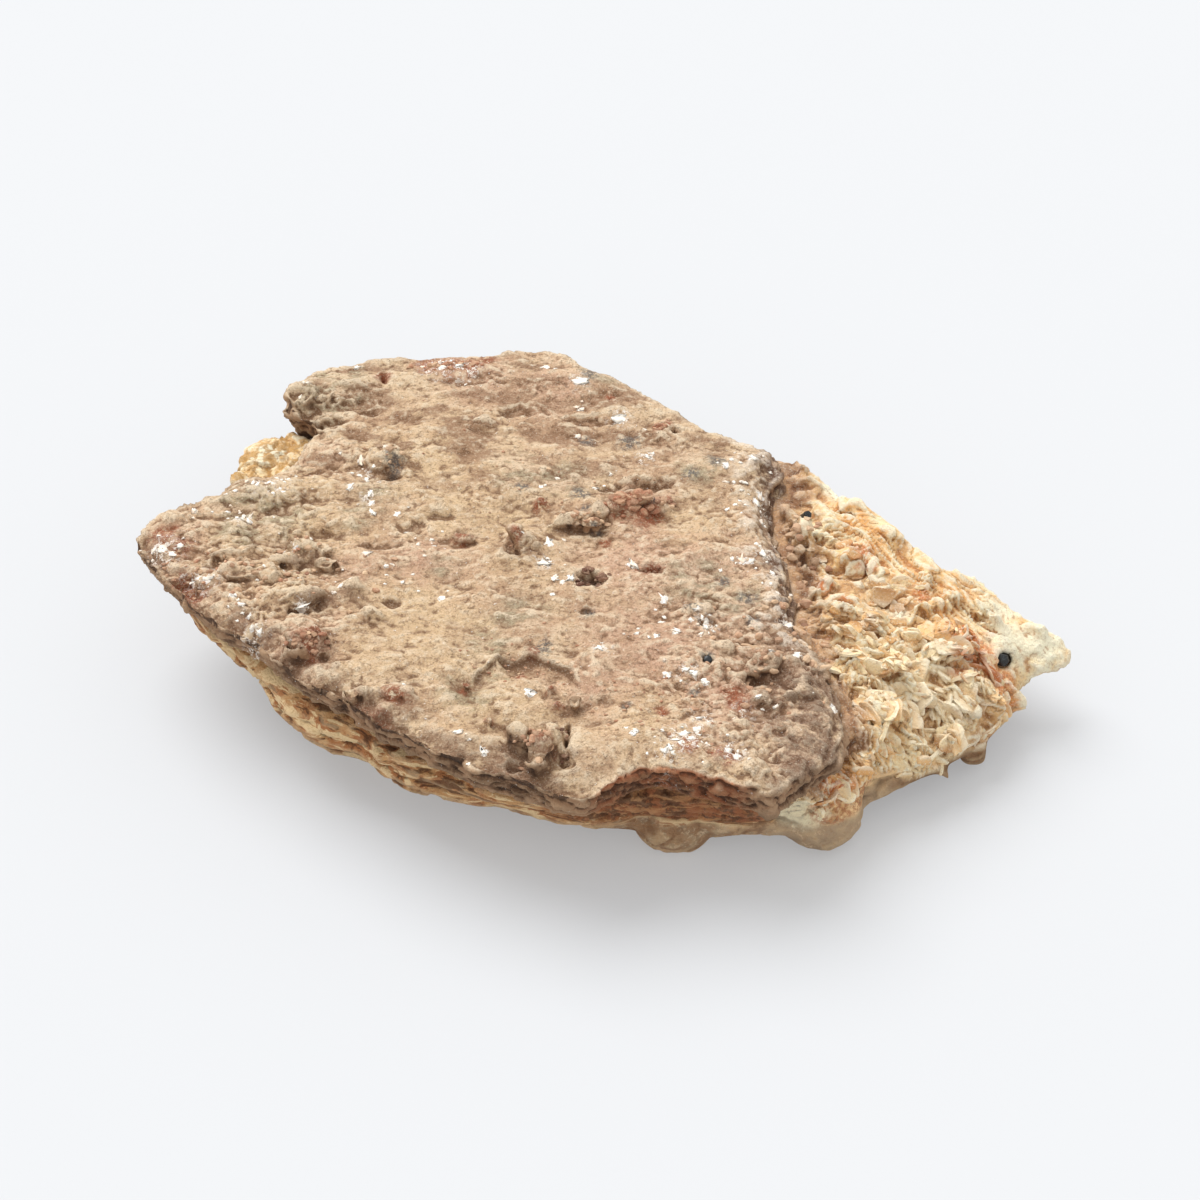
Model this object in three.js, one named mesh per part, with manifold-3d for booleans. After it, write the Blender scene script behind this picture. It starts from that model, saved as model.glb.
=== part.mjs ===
// A vanadinite specimen: a broken slab of rock that lies on its uneven underside.
// A brown, sandy crust caps a mass of pale, bladed rock, and three stout, near-black prisms
// sit on the two of them.
// Millimetres, +Z up, +X along the slab towards its pale end, -Y towards its long front edge.

import * as THREE from "three";
import { mergeVertices } from "three/addons/utils/BufferGeometryUtils.js";
import Module from "manifold-3d";

const wasm = await Module();
wasm.setup();

// Driving dimensions of the crust
const crustTop = 24.6; // height of its flat middle
const crustThick = 5.4;
const crustCentre = [-14, 8];
const crustGrain = 4.4; // spacing of its facets
const crustRimBlend = 4; // width of the strip where its upper side meets its rim
const cornerFall = { from: [12, -18], over: [20, 24], most: 2 }; // fall of its front right corner
const frontDish = { at: [-12, -38], inner: 3, outer: 12, deep: 1.1 }; // curved hollow near the front
const bedGap = 0.3; // between two pieces that touch
const bedOpening = 12; // how far above the crust its bed is cut

// Driving dimensions of the pale rock
const matrixTop = 20.4; // height beside the crust
const matrixFall = 0.1; // fall of its upper side for each millimetre towards the tip
const matrixBase = 4.6; // height of the underside between its lumps
const matrixCentre = [0, -8];
const matrixGrain = 6.6;
const matrixTopBlend = 11; // width of the strips where its upper side and underside meet its sides
const matrixBaseBlend = 9;
const smallLump = 2.5; // half size below which a lump has few facets
const lumpSkin = 0.22; // how uneven a lump's skin is, as a share of its size
const restingSkin = 0.08;
const groundSize = 400;

// The crust's rim, seen from above, from the left tip along the front: x, y, height.
const crustRim = [
  [-77, 0.2, 24], [-74.4, -4.4, 23.8], [-66.5, -14.5, 23.6], [-62, -19.5, 23.6], [-54, -25.5, 23.6],
  [-47, -33, 23.5], [-42.5, -36, 23.6], [-38.5, -38.5, 23.7], [-35, -42.5, 23.6], [-29.5, -45, 23.6],
  [-24, -48.5, 23.4], [-19, -51.5, 23.2], [-12, -53.5, 22.9], [-7, -56.5, 22.8], [-1.5, -57.5, 22.8],
  [2, -54, 23.2], [8.5, -51.5, 23.3], [15, -53.5, 23], [21, -55, 22.8], [24.5, -56, 22.2],
  [27, -53.5, 22], [31, -49, 21.8], [34, -46, 21.7], [34.5, -39.5, 22], [33.5, -31, 22.4],
  [31.5, -25, 22.8], [29, -20, 23.6], [28.5, -13, 24], [28, -5, 24.2], [26, 1, 24.4], [25.5, 8.5, 24.5],
  [26.5, 14.5, 24.5], [29.5, 20.6, 24.6], [26, 23, 24.8], [19.5, 27.4, 24.8], [14, 31.8, 24.8],
  [7.5, 38, 24.8], [3, 43, 24.8], [-1.5, 44.4, 24.8], [-6.5, 49.3, 25], [-13, 50.8, 25.2],
  [-19, 49.6, 24.9], [-29.5, 48.5, 24.9], [-38.5, 48.2, 24.8], [-46, 46.4, 24.5], [-50.5, 44.8, 24],
  [-54.5, 40.5, 23.6], [-55.5, 36, 23.4], [-52.5, 31.5, 23.4], [-48.5, 29, 23], [-51, 25.5, 23.4],
  [-52, 21, 23.8], [-55, 16.5, 24], [-61, 15, 24], [-63.5, 11.5, 24], [-68.5, 8.3, 24], [-74, 5, 24],
];

// The widest line round the pale rock, in the same order: x, y, height.
const matrixShoulder = [
  [-72, -2, 17.5], [-66.5, -11.5, 17], [-60, -19.5, 16.5], [-52, -27, 15.6], [-45.5, -34, 15],
  [-37, -39, 15.5], [-30, -44, 15], [-20, -49, 15], [-8, -52, 15], [3, -51.5, 15.5], [14, -51.5, 15.5],
  [24, -53, 15], [32, -49.5, 15], [38, -45, 13.5], [43, -41, 12], [47, -38.5, 11], [52, -35.5, 10],
  [57, -32.6, 9], [62, -29, 8.4], [65.8, -25, 8.4], [67.4, -20.4, 8.8], [70.5, -18.2, 10],
  [75, -17, 10.6], [77, -15, 12], [73.5, -12, 14.2], [69.5, -9.5, 15], [66.5, -5.5, 15.8],
  [63, -2, 16.8], [56, -1, 17.4], [53, 3, 18], [49, 9, 18.5], [44, 12, 19.3], [40, 16.5, 19.8],
  [36.5, 22, 20.2], [32, 26, 20.8], [26, 25, 20], [18, 28.5, 18], [12, 32.5, 17.5], [4, 39.5, 17],
  [-6, 46, 17], [-14, 48, 17], [-28, 46.5, 17], [-44, 44.5, 17], [-53, 38.5, 17.5], [-54, 32.5, 20.3],
  [-57.5, 31.3, 20.2], [-61.3, 28, 19.4], [-63, 21, 18.6], [-64.5, 12, 17.5], [-70, 5, 17.3],
];

// The line where the pale rock's sides turn in to the underside: x, y, height.
const matrixFoot = [
  [-68, -4, 14], [-62, -14, 13.6], [-55, -22.5, 12.5], [-51, -28, 10.6], [-45.5, -33.6, 9],
  [-37, -37.5, 9], [-30, -42.5, 8], [-24, -44, 8], [-17, -45.5, 7.5], [-9, -46.8, 6.8], [1, -47.6, 5.4],
  [12, -48, 3.6], [20, -48.6, 3.8], [27, -48, 3.8], [36, -47, 3.4], [42, -42.6, 4.2],
  [46.5, -39.4, 4.6], [51.5, -36.6, 4.4], [56.5, -33, 4.4], [61, -29.6, 4.2], [64.6, -25, 5],
  [66.6, -21, 6.4], [69.5, -17.6, 8], [73, -16, 9.2], [70, -11, 9.6], [62, -6, 8], [54, -4, 7],
  [46, 3, 6.6], [38, 12, 6.4], [30, 18, 6.4], [20, 21.5, 6], [10, 27, 6], [0, 36, 6], [-12, 41.5, 6.4],
  [-28, 40.5, 7], [-42, 37.5, 8], [-50, 32, 9], [-57, 25, 10.5], [-60, 15, 11.5], [-65, 5, 13],
];

// Nodules that grew on the crust: place, half sizes and how high their middle lies on it.
const crustNodules = [
  { at: [-36, 18.3], half: [3.7, 2.6, 2.1], rise: 0.2 }, // grey nodule with a white top
  { at: [-32.6, 15.6], half: [1.7, 1.3, 1.2], rise: 0.2 },
  { at: [-45.8, -25.8], half: [3.1, 2.6, 2], rise: 0.5 }, // pink-brown nodule
  { at: [3.2, 7.2], half: [2.2, 1.8, 1.6], rise: 0.4 }, // red-brown cluster
  { at: [6.7, 7.6], half: [2.4, 2, 1.8], rise: 0.6 },
  { at: [5, 9.8], half: [1.8, 1.5, 1.4], rise: 0.4 },
  { at: [10.3, 7.4], half: [2.6, 2.1, 1.5], rise: 0.3 },
  { at: [-0.2, 5.4], half: [1.4, 1.6, 1.4], rise: 0.5 },
  { at: [-4.2, 3.6], half: [4.3, 1.3, 1.2], rise: 0.1 }, // low bar beside the cluster
  { at: [-13.2, -2.2], half: [2.7, 2, 1.9], rise: 0.4 },
  { at: [-11.8, -47.2], half: [2.1, 2.2, 1.9], rise: 0.3 }, // group by the front crack
  { at: [-9, -50.6], half: [2.3, 2, 1.9], rise: 0.2 },
  { at: [-7.4, -46.6], half: [1.8, 2, 1.7], rise: 0.3 },
  { at: [26.2, -29.6], half: [2.2, 2, 1.9], rise: 0.4 },
  { at: [-31.6, -37], half: [3.6, 1.6, 1.3], rise: 0.1 }, // ridge by the front edge
  { at: [23, -51.6], half: [2.6, 2.2, 1.8], rise: -0.2 },
  { at: [-52, 36.4], half: [2.8, 3, 2.2], rise: -0.2 }, // lobe by the notch
  { at: [-60, -4], half: [5, 1.5, 1.2], rise: 0 }, // low ridges on the left third
  { at: [-48, -3.4], half: [5, 1.3, 1.2], rise: 0 },
  { at: [-57, -8.4], half: [5.5, 1.3, 1.3], rise: 0 },
  { at: [-47.5, -14.8], half: [4, 1.4, 1.3], rise: 0.2 },
];

// Pits in the crust: place, half sizes and how high their middle lies on it.
const crustPits = [
  { at: [-1.2, -10.6], half: [2.6, 2, 1.8], rise: -0.2 },
  { at: [8.1, -8.2], half: [2.7, 1.3, 1.2], rise: 0 },
  { at: [12.8, 28], half: [0.95, 0.9, 1.3], rise: 0 },
  { at: [10.2, 28], half: [0.7, 0.6, 0.9], rise: 0 },
  { at: [-38, 41.6], half: [1.1, 2.1, 1.3], rise: 0 },
  { at: [-47.6, 30.3], half: [2.3, 1.8, 2.4], rise: 0 }, // cavity in the notch
  { at: [8, 13.6], half: [5, 2.2, 1.3], rise: 0.3 }, // hollow behind the cluster
  { at: [-4.8, -45.6], half: [0.8, 3.4, 2.2], rise: 0 }, // front crack, and its hole
  { at: [-5, -51.4], half: [1.7, 1.5, 2], rise: 0 },
  { at: [23.4, -32.4], half: [1.6, 1.3, 1.4], rise: 0 },
  { at: [-47.3, -17.2], half: [3.4, 0.9, 1], rise: 0.1 },
  { at: [-34.6, 15], half: [2.4, 0.9, 1.1], rise: 0 },
  { at: [-67, -10.5], half: [1.8, 1.4, 1.2], rise: 0 },
];

// Swells of the pale rock that carry it, with flats where it rests: place, height and half sizes.
const restingLumps = [
  { at: [12, -44, 5.4], half: [7.2, 6.8, 6.6] }, // the two that show in front
  { at: [34.2, -43.4, 5.8], half: [7.8, 6.8, 7] },
  { at: [-27, -22, 8], half: [15, 11, 9.3] },
  { at: [-34, 17, 8.4], half: [16, 13, 9.9] },
  { at: [6, 15, 7.4], half: [14, 12, 8.6] },
  { at: [43, -10, 7.4], half: [13, 12, 8.6] },
];

// Other lumps of the pale rock.
const matrixLumps = [
  { at: [60.3, -29.2, 3.8], half: [2.6, 2.6, 3] }, // small brown lump under the end
  { at: [65.8, -14, 13], half: [4, 3.2, 2.8] }, // white lump behind the tip's prism
  { at: [71, -14, 12], half: [5, 3.2, 3] },
  { at: [-64.4, -11, 16], half: [2.8, 2.4, 2.6] }, // under the left tip
  { at: [-27.5, -41, 10.6], half: [6, 4, 3.6] },
  { at: [-57.5, 26.5, 18.6], half: [5, 5, 2.4] }, // pale corner behind the notch
  { at: [37.5, -6.4, 19.4], half: [3, 2.2, 2.2] },
  { at: [38.8, -36, 15.6], half: [5, 3.4, 2.6] }, // curved ledge in front
  { at: [56.4, -25, 11.8], half: [5, 4.6, 4.4] },
  { at: [46, -33, 10.4], half: [6.5, 3.8, 3.4] },
  { at: [30.4, -46, 10.6], half: [4.4, 3, 7] }, // smooth pale face below the crust's corner
];

// Hollows in the pale rock.
const matrixHollows = [
  { at: [62.4, -10.6, 16.4], half: [2.4, 1.4, 1.8] },
  { at: [35.8, 2.8, 20.8], half: [2.2, 1.5, 1.6] },
  { at: [33.4, -38.4, 17.6], half: [3.4, 1.4, 1.6] },
  { at: [51, -10.6, 18.6], half: [2.6, 1.2, 1.4] },
  { at: [43, -20, 19.4], half: [2.2, 1.4, 1.4] },
  { at: [-49, 30.8, 18.2], half: [3.6, 3.8, 1.8] }, // under the crust's notch
];

// Long slabs that run side by side down the back of the open upper side.
const slabs = { first: [44, 10], step: [-1.9, -2.2], count: 5, long: 17, high: 3, thick: 1.2, turn: -36 };

// Blades all over the open upper side: the field that they fill, their spacing and least sizes.
const blades = {
  fromX: 27,
  toX: 74,
  fromY: -42,
  toY: 24,
  grid: 6.2,
  crustMargin: 2.4,
  long: 3.6,
  high: 2.8,
  thick: 1,
};

// The near-black prisms: middle, radius, length, and how far each leans.
const tipPrism = { at: [65.6, -17.2, 12.8], radius: 1.15, long: 3, lean: [0.9, -0.35] };
const crustPrism = { at: [16.8, -29.3, 23.7], radius: 0.7, long: 2, lean: [0.35, 0.1] };
const ledgePrism = { at: [34.6, 9.6, 20.6], radius: 0.75, long: 2.2, lean: [0.5, 0.4] };

// A number between 0 and 1 for each corner of a grid, the same every time.
function scatter(i, j, k) {
  const mixed = Math.sin(i * 127.1 + j * 311.7 + k * 74.7) * 43758.5453;
  return mixed - Math.floor(mixed);
}

function smooth(t) {
  const held = Math.min(1, Math.max(0, t));
  return held * held * (3 - 2 * held);
}

function mix(a, b, t) {
  return a + (b - a) * t;
}

// A value that wanders evenly between -1 and 1 through space.
function wander(x, y, z = 0) {
  const [i, j, k] = [x, y, z].map(Math.floor);
  const [u, v, w] = [smooth(x - i), smooth(y - j), smooth(z - k)];
  const along = (dj, dk) => mix(scatter(i, j + dj, k + dk), scatter(i + 1, j + dj, k + dk), u);
  return 2 * mix(mix(along(0, 0), along(1, 0), v), mix(along(0, 1), along(1, 1), v), w) - 1;
}

// Numbers between 0 and 1 in a fixed order.
function draws(seed) {
  let state = seed;
  return () => {
    state = (state * 1664525 + 1013904223) % 4294967296;
    return state / 4294967296;
  };
}

// A closed outline that runs through points of x, y and height.
function outlineThrough(points) {
  const curve = new THREE.CatmullRomCurve3(
    points.map((point) => new THREE.Vector3(...point)),
    true,
    "centripetal",
  );
  curve.arcLengthDivisions = 800;
  return curve;
}

// Where an outline crosses the line from a centre at an angle.
function outlineAtAngle(points, centre, angle) {
  for (let i = 0; i < points.length; i += 1) {
    const a = points[i];
    const b = points[(i + 1) % points.length];
    const turnA = Math.atan2(a.y - centre[1], a.x - centre[0]);
    const turnB = Math.atan2(b.y - centre[1], b.x - centre[0]);
    const span = Math.atan2(Math.sin(turnB - turnA), Math.cos(turnB - turnA));
    const part = Math.atan2(Math.sin(angle - turnA), Math.cos(angle - turnA));
    if (span > 0 && part >= 0 && part <= span) return a.clone().lerp(b, part / span);
  }
  return points[0].clone();
}

// The triangles between two rings of points, each of which may be a single point.
function stitch(indices, a, b) {
  const stepsA = a.count > 1 ? a.count : 0;
  const stepsB = b.count > 1 ? b.count : 0;
  let i = 0;
  let j = 0;
  while (i < stepsA || j < stepsB) {
    const pointA = a.start + (i % a.count);
    const pointB = b.start + (j % b.count);
    if (j < stepsB && (i >= stepsA || (j + 1) / stepsB <= (i + 1) / stepsA)) {
      j += 1;
      indices.push(pointA, pointB, b.start + (j % b.count));
    } else {
      i += 1;
      indices.push(pointA, pointB, a.start + (i % a.count));
    }
  }
}

// A closed body from rings that run from its top centre out, down and in to its base centre.
function ringBody(rings) {
  const indices = [];
  const positions = [];
  let last = null;
  for (const ring of rings) {
    const next = { start: positions.length / 3, count: ring.length };
    for (const point of ring) positions.push(point.x, point.y, point.z);
    if (last) stitch(indices, last, next);
    last = next;
  }
  const geometry = new THREE.BufferGeometry();
  geometry.setAttribute("position", new THREE.Float32BufferAttribute(positions, 3));
  geometry.setIndex(indices);
  return geometry;
}

// Rings that fill an outline, from its centre to just inside its edge, with about even facets.
function fillRings(curve, centre, grain, heightAt) {
  const length = curve.getLength();
  const radius = length / (2 * Math.PI);
  const count = Math.round(radius / grain);
  const rings = [[new THREE.Vector3(centre[0], centre[1], heightAt(centre[0], centre[1], null))]];
  for (let ring = 1; ring < count; ring += 1) {
    const share = ring / count;
    const points = Math.max(6, Math.round((length * share) / grain));
    const line = [];
    for (let i = 0; i < points; i += 1) {
      const place = (i + 0.3 * (scatter(ring, i, 5) - 0.5)) / points;
      const edge = curve.getPointAt((place + 1) % 1);
      const reach = share + (0.3 * (scatter(ring, i, 9) - 0.5)) / count;
      const x = mix(centre[0], edge.x, reach);
      const y = mix(centre[1], edge.y, reach);
      line.push(new THREE.Vector3(x, y, heightAt(x, y, edge)));
    }
    rings.push(line);
  }
  return rings;
}

function edgeRing(curve, grain) {
  const points = Math.round(curve.getLength() / grain);
  return curve.getSpacedPoints(points).slice(0, points);
}

// How far in from the edge a point lies, along the line from the centre.
function depthInside(x, y, edge) {
  return edge ? Math.hypot(edge.x - x, edge.y - y) : Infinity;
}

function solidFrom(geometry) {
  const bare = geometry.clone();
  bare.deleteAttribute("normal");
  bare.deleteAttribute("uv");
  const merged = mergeVertices(bare, 1e-4);
  return new wasm.Manifold(
    new wasm.Mesh({
      numProp: 3,
      vertProperties: merged.attributes.position.array,
      triVerts: new Uint32Array(merged.index.array),
    }),
  );
}

function geometryFrom(solid) {
  const { vertProperties, triVerts } = solid.getMesh();
  const geometry = new THREE.BufferGeometry();
  geometry.setAttribute("position", new THREE.BufferAttribute(vertProperties, 3));
  geometry.setIndex(new THREE.BufferAttribute(triVerts, 1));
  geometry.computeVertexNormals();
  return geometry;
}

// A rounded, faceted lump with an uneven skin.
function lump([x, y, z], half, unevenness = lumpSkin) {
  const detail = Math.min(half[0], half[1]) < smallLump ? 0 : 1;
  const geometry = new THREE.IcosahedronGeometry(1, detail);
  const points = geometry.attributes.position;
  for (let i = 0; i < points.count; i += 1) {
    const point = new THREE.Vector3().fromBufferAttribute(points, i);
    const swell = 1 + unevenness * wander(point.x * 1.7 + x, point.y * 1.7 + y, point.z * 1.7 + z);
    points.setXYZ(i, point.x * swell, point.y * swell, point.z * swell);
  }
  geometry.scale(...half);
  geometry.rotateZ(0.4 * wander(x, y, z));
  geometry.translate(x, y, z);
  return solidFrom(geometry);
}

// The crust's upper side: flat, with low swells that are longer along X, and shallow steps.
function crustHeight(x, y) {
  const swell = 0.8 * wander(x / 13, y / 7) + 0.4 * wander(x / 5 + 40, y / 3.6);
  const backRise = 0.012 * y;
  const steps = 0.7 * smooth((-36 - x) / 10) * Math.sin(y / 1.4 + 1.5 * wander(x / 8, 3));
  return crustTop + backRise + swell - frontCornerFall(x, y) - dishDepth(x, y) + steps;
}

function frontCornerFall(x, y) {
  const { from, over, most } = cornerFall;
  return most * smooth((x - from[0]) / over[0]) * smooth((from[1] - y) / over[1]);
}

function dishDepth(x, y) {
  const { at, inner, outer, deep } = frontDish;
  const away = Math.hypot(x - at[0], y - at[1]);
  return deep * smooth((outer - away) / 2.5) * smooth((away - inner) / 8) * smooth((y - at[1] + 2) / 6);
}

// How far the crust's foot stands out beyond its rim: out on the right, in elsewhere.
function crustFlare(x, y) {
  return mix(-1.4, 3, smooth((x - 18) / 8)) * mix(0.2, 1, smooth((y + 54) / 14));
}

// The crust's body. A clearance makes the larger body that cuts its bed, open upwards.
function crustBody(clearance) {
  const curve = outlineThrough(crustRim);
  const above = clearance > 0 ? bedOpening : 0;
  const top = fillRings(curve, crustCentre, crustGrain, (x, y, edge) => {
    const rim = edge ? edge.z : crustTop;
    return above + mix(rim, crustHeight(x, y), smooth(0.25 + depthInside(x, y, edge) / crustRimBlend));
  });
  const rim = edgeRing(curve, crustGrain);
  const outward = rim.map((point, i) => {
    const along = curve.getTangentAt(i / rim.length);
    return new THREE.Vector2(along.y, -along.x).normalize();
  });
  const sideRing = (drop, push) =>
    rim.map((point, i) => {
      const ragged = 0.5 * wander(point.x / 2.6, point.y / 2.6, drop * 3);
      const out = push * crustFlare(point.x, point.y) + ragged + clearance;
      const z = point.z - drop * crustThick - 0.3 * wander(point.x / 4, point.y / 4, 7);
      const x = point.x + outward[i].x * out;
      return new THREE.Vector3(x, point.y + outward[i].y * out, z - clearance);
    });
  const base = fillRings(curve, crustCentre, 2.4 * crustGrain, (x, y) => {
    const flat = crustTop - crustThick - 0.3 + 0.4 * wander(x / 12, y / 12, 4);
    return flat - clearance - 0.8 * frontCornerFall(x, y);
  });
  const sides = [sideRing(0, 0), sideRing(0.3, 0.45), sideRing(0.65, 0.8), sideRing(1, 1)];
  if (above > 0) {
    const raised = sides[0].map((point) => new THREE.Vector3(point.x, point.y, point.z + above));
    sides.unshift(raised);
  }
  return solidFrom(ringBody([...top, ...sides, ...base.reverse()]));
}

// A lump or a pit placed on the crust's upper side, larger all round by a clearance.
function onCrust({ at, half, rise }, clearance) {
  const grown = half.map((size) => size + clearance);
  return lump([at[0], at[1], crustHeight(...at) + rise], grown);
}

function makeCrust() {
  let crust = crustBody(0);
  for (const nodule of crustNodules) crust = crust.add(onCrust(nodule, 0));
  for (const pit of crustPits) crust = crust.subtract(onCrust(pit, 0));
  return crust;
}

// The open upper side of the pale rock, which falls gently towards the tip.
function matrixHeight(x, y) {
  const fall = matrixFall * Math.max(0, x - 30) + 0.004 * Math.max(0, x - 52) ** 2;
  return matrixTop - fall + 0.9 * wander(x / 7, y / 5, 2) + 0.5 * wander(x / 3.2, y / 3.2, 6);
}

// The underside of the pale rock, which lifts towards both ends.
function undersideHeight(x, y) {
  const leftLift = 0.24 * Math.max(0, -30 - x);
  const rightLift = 0.22 * Math.max(0, x - 54);
  return matrixBase + leftLift + rightLift + 1.1 * wander(x / 9, y / 9, 11);
}

function matrixBody() {
  const shoulder = outlineThrough(matrixShoulder);
  const foot = outlineThrough(matrixFoot);
  const footLine = foot.getSpacedPoints(400).slice(0, 400);
  const top = fillRings(shoulder, matrixCentre, matrixGrain, (x, y, edge) => {
    const rim = edge ? edge.z : matrixTop;
    return mix(rim, matrixHeight(x, y), smooth(depthInside(x, y, edge) / matrixTopBlend));
  });
  const widest = edgeRing(shoulder, 0.85 * matrixGrain);
  const footPoints = widest.map((point) => {
    const angle = Math.atan2(point.y - matrixCentre[1], point.x - matrixCentre[0]);
    return outlineAtAngle(footLine, matrixCentre, angle);
  });
  const sideRing = (share, bulge) =>
    widest.map((point, i) => {
      const spot = point.clone().lerp(footPoints[i], share);
      const layer = bulge + 1.5 * wander(spot.x / 8, spot.y / 8, spot.z / 1.7);
      const away = new THREE.Vector2(spot.x - matrixCentre[0], spot.y - matrixCentre[1]).normalize();
      return new THREE.Vector3(spot.x + away.x * layer, spot.y + away.y * layer, spot.z);
    });
  const sides = [widest, sideRing(0.25, 0.4), sideRing(0.5, -0.7), sideRing(0.75, 0.6)];
  const lowest = new THREE.CatmullRomCurve3(footPoints, true, "centripetal");
  const base = fillRings(lowest, matrixCentre, 1.25 * matrixGrain, (x, y, edge) => {
    const rim = edge ? edge.z : matrixBase;
    return mix(rim, undersideHeight(x, y), smooth(depthInside(x, y, edge) / matrixBaseBlend));
  });
  return solidFrom(ringBody([...top, ...sides, footPoints, ...base.reverse()]));
}

// A blade of pale rock: a thin plate with a five-sided outline, set on edge.
function blade({ at, long, high, thick, turn, lean }) {
  const outline = new THREE.Shape();
  outline.moveTo(-0.5 * long, -0.5 * high);
  outline.lineTo(0.44 * long, -0.5 * high);
  outline.lineTo(0.5 * long, 0.1 * high);
  outline.lineTo(0.28 * long, 0.5 * high);
  outline.lineTo(-0.32 * long, 0.42 * high);
  const geometry = new THREE.ExtrudeGeometry(outline, { depth: thick, bevelEnabled: false });
  geometry.translate(0, 0, -0.5 * thick);
  geometry.rotateX(Math.PI / 2 + lean);
  geometry.rotateZ(turn);
  geometry.translate(...at);
  return solidFrom(geometry);
}

// Whether a point lies inside an outline, seen from above.
function inside(points, x, y) {
  let within = false;
  for (let i = 0; i < points.length; i += 1) {
    const a = points[i];
    const b = points[(i + 1) % points.length];
    if (a.y > y !== b.y > y && x < a.x + ((b.x - a.x) * (y - a.y)) / (b.y - a.y)) within = !within;
  }
  return within;
}

// The point of an outline that is nearest to a place, seen from above.
function nearestOn(points, x, y) {
  const away = (point) => Math.hypot(point.x - x, point.y - y);
  return points.reduce((near, point) => (away(point) < away(near) ? point : near));
}

// Blades all over the open upper side, in sheaves that turn slowly from place to place.
function bladeField() {
  const { fromX, toX, fromY, toY, grid, crustMargin, long, high, thick } = blades;
  const draw = draws(11);
  const edge = outlineThrough(matrixShoulder).getSpacedPoints(200);
  const crustEdge = outlineThrough(crustRim).getSpacedPoints(200);
  const field = [];
  for (let x = fromX; x < toX; x += grid) {
    for (let y = fromY; y < toY; y += 0.9 * grid) {
      const spotX = x + grid * (draw() - 0.5);
      const spotY = y + grid * (draw() - 0.5);
      const [sizeDraw, leanDraw, turnDraw] = [draw(), draw(), draw()];
      const open = inside(edge, spotX + 1.5, spotY + 1) && inside(edge, spotX - 1, spotY - 2.5);
      if (!open || inside(crustEdge, spotX - crustMargin, spotY)) continue;
      const rim = nearestOn(edge, spotX, spotY);
      const fromRim = Math.hypot(rim.x - spotX, rim.y - spotY);
      const height = mix(rim.z, matrixHeight(spotX, spotY), smooth(fromRim / 10));
      field.push(
        blade({
          at: [spotX, spotY, height + 0.5],
          long: long + 2.6 * sizeDraw,
          high: high + 1.2 * leanDraw,
          thick: thick + 0.5 * sizeDraw,
          turn: -0.7 + 1.6 * wander(spotX / 9, spotY / 9, 21) + 0.9 * (turnDraw - 0.5),
          lean: -0.9 + 1.3 * leanDraw,
        }),
      );
    }
  }
  return field;
}

function slabRow() {
  const { first, step, count, long, high, thick, turn } = slabs;
  const row = [];
  for (let i = 0; i < count; i += 1) {
    const x = first[0] + step[0] * i;
    const y = first[1] + step[1] * i;
    const at = [x, y, matrixHeight(x, y) - 0.3];
    row.push(blade({ at, long, high, thick, turn: THREE.MathUtils.degToRad(turn), lean: -0.5 }));
  }
  return row;
}

// A six-sided prism with its upper edges trimmed, standing on its middle point.
function prism({ at, radius, long, lean }, clearance) {
  const trim = 0.16 * radius;
  const r = radius + clearance;
  const low = -0.5 * long - clearance;
  const high = 0.5 * long + clearance;
  const profile = [
    new THREE.Vector2(0, low),
    new THREE.Vector2(r, low),
    new THREE.Vector2(r, high - trim),
    new THREE.Vector2(r - trim, high),
    new THREE.Vector2(0, high),
  ];
  const geometry = new THREE.LatheGeometry(profile, 6);
  geometry.rotateX(Math.PI / 2);
  geometry.rotateX(lean[0]);
  geometry.rotateY(lean[1]);
  geometry.translate(...at);
  return solidFrom(geometry);
}

// Everything below the surface that the specimen lies on.
function belowGround() {
  const geometry = new THREE.BoxGeometry(groundSize, groundSize, 20);
  geometry.translate(0, 0, -10);
  return solidFrom(geometry);
}

function makeMatrix() {
  let matrix = matrixBody();
  for (const { at, half } of restingLumps) matrix = matrix.add(lump(at, half, restingSkin));
  for (const { at, half } of matrixLumps) matrix = matrix.add(lump(at, half));
  for (const piece of [...slabRow(), ...bladeField()]) matrix = matrix.add(piece);
  for (const { at, half } of matrixHollows) matrix = matrix.subtract(lump(at, half));
  for (const nodule of crustNodules) matrix = matrix.subtract(onCrust(nodule, bedGap));
  return matrix.subtract(crustBody(bedGap)).subtract(belowGround());
}

// The largest body of a solid, without crumbs that a cut has left loose.
function largestBody(solid) {
  return solid.decompose().reduce((best, body) => (body.volume() > best.volume() ? body : best));
}

function crustStone() {
  return new THREE.MeshStandardMaterial({ color: 0xc0a080, roughness: 0.92, metalness: 0 });
}

function paleStone() {
  return new THREE.MeshStandardMaterial({ color: 0xe6cfa6, roughness: 0.85, metalness: 0 });
}

function blackCrystal() {
  return new THREE.MeshStandardMaterial({ color: 0x24282a, roughness: 0.3, metalness: 0 });
}

function namedMesh(name, solid, material) {
  const mesh = new THREE.Mesh(geometryFrom(solid), material);
  mesh.name = name;
  return mesh;
}

const matrixSolid = makeMatrix()
  .subtract(prism(tipPrism, bedGap))
  .subtract(prism(ledgePrism, bedGap));
const crustSolid = makeCrust().subtract(prism(crustPrism, bedGap));

const specimen = new THREE.Group();
specimen.add(namedMesh("brown_crust", largestBody(crustSolid), crustStone()));
specimen.add(namedMesh("pale_matrix", largestBody(matrixSolid), paleStone()));
specimen.add(namedMesh("black_crystal_tip", prism(tipPrism, 0), blackCrystal()));
specimen.add(namedMesh("black_crystal_crust", prism(crustPrism, 0), blackCrystal()));
specimen.add(namedMesh("black_crystal_ledge", prism(ledgePrism, 0), blackCrystal()));

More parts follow.
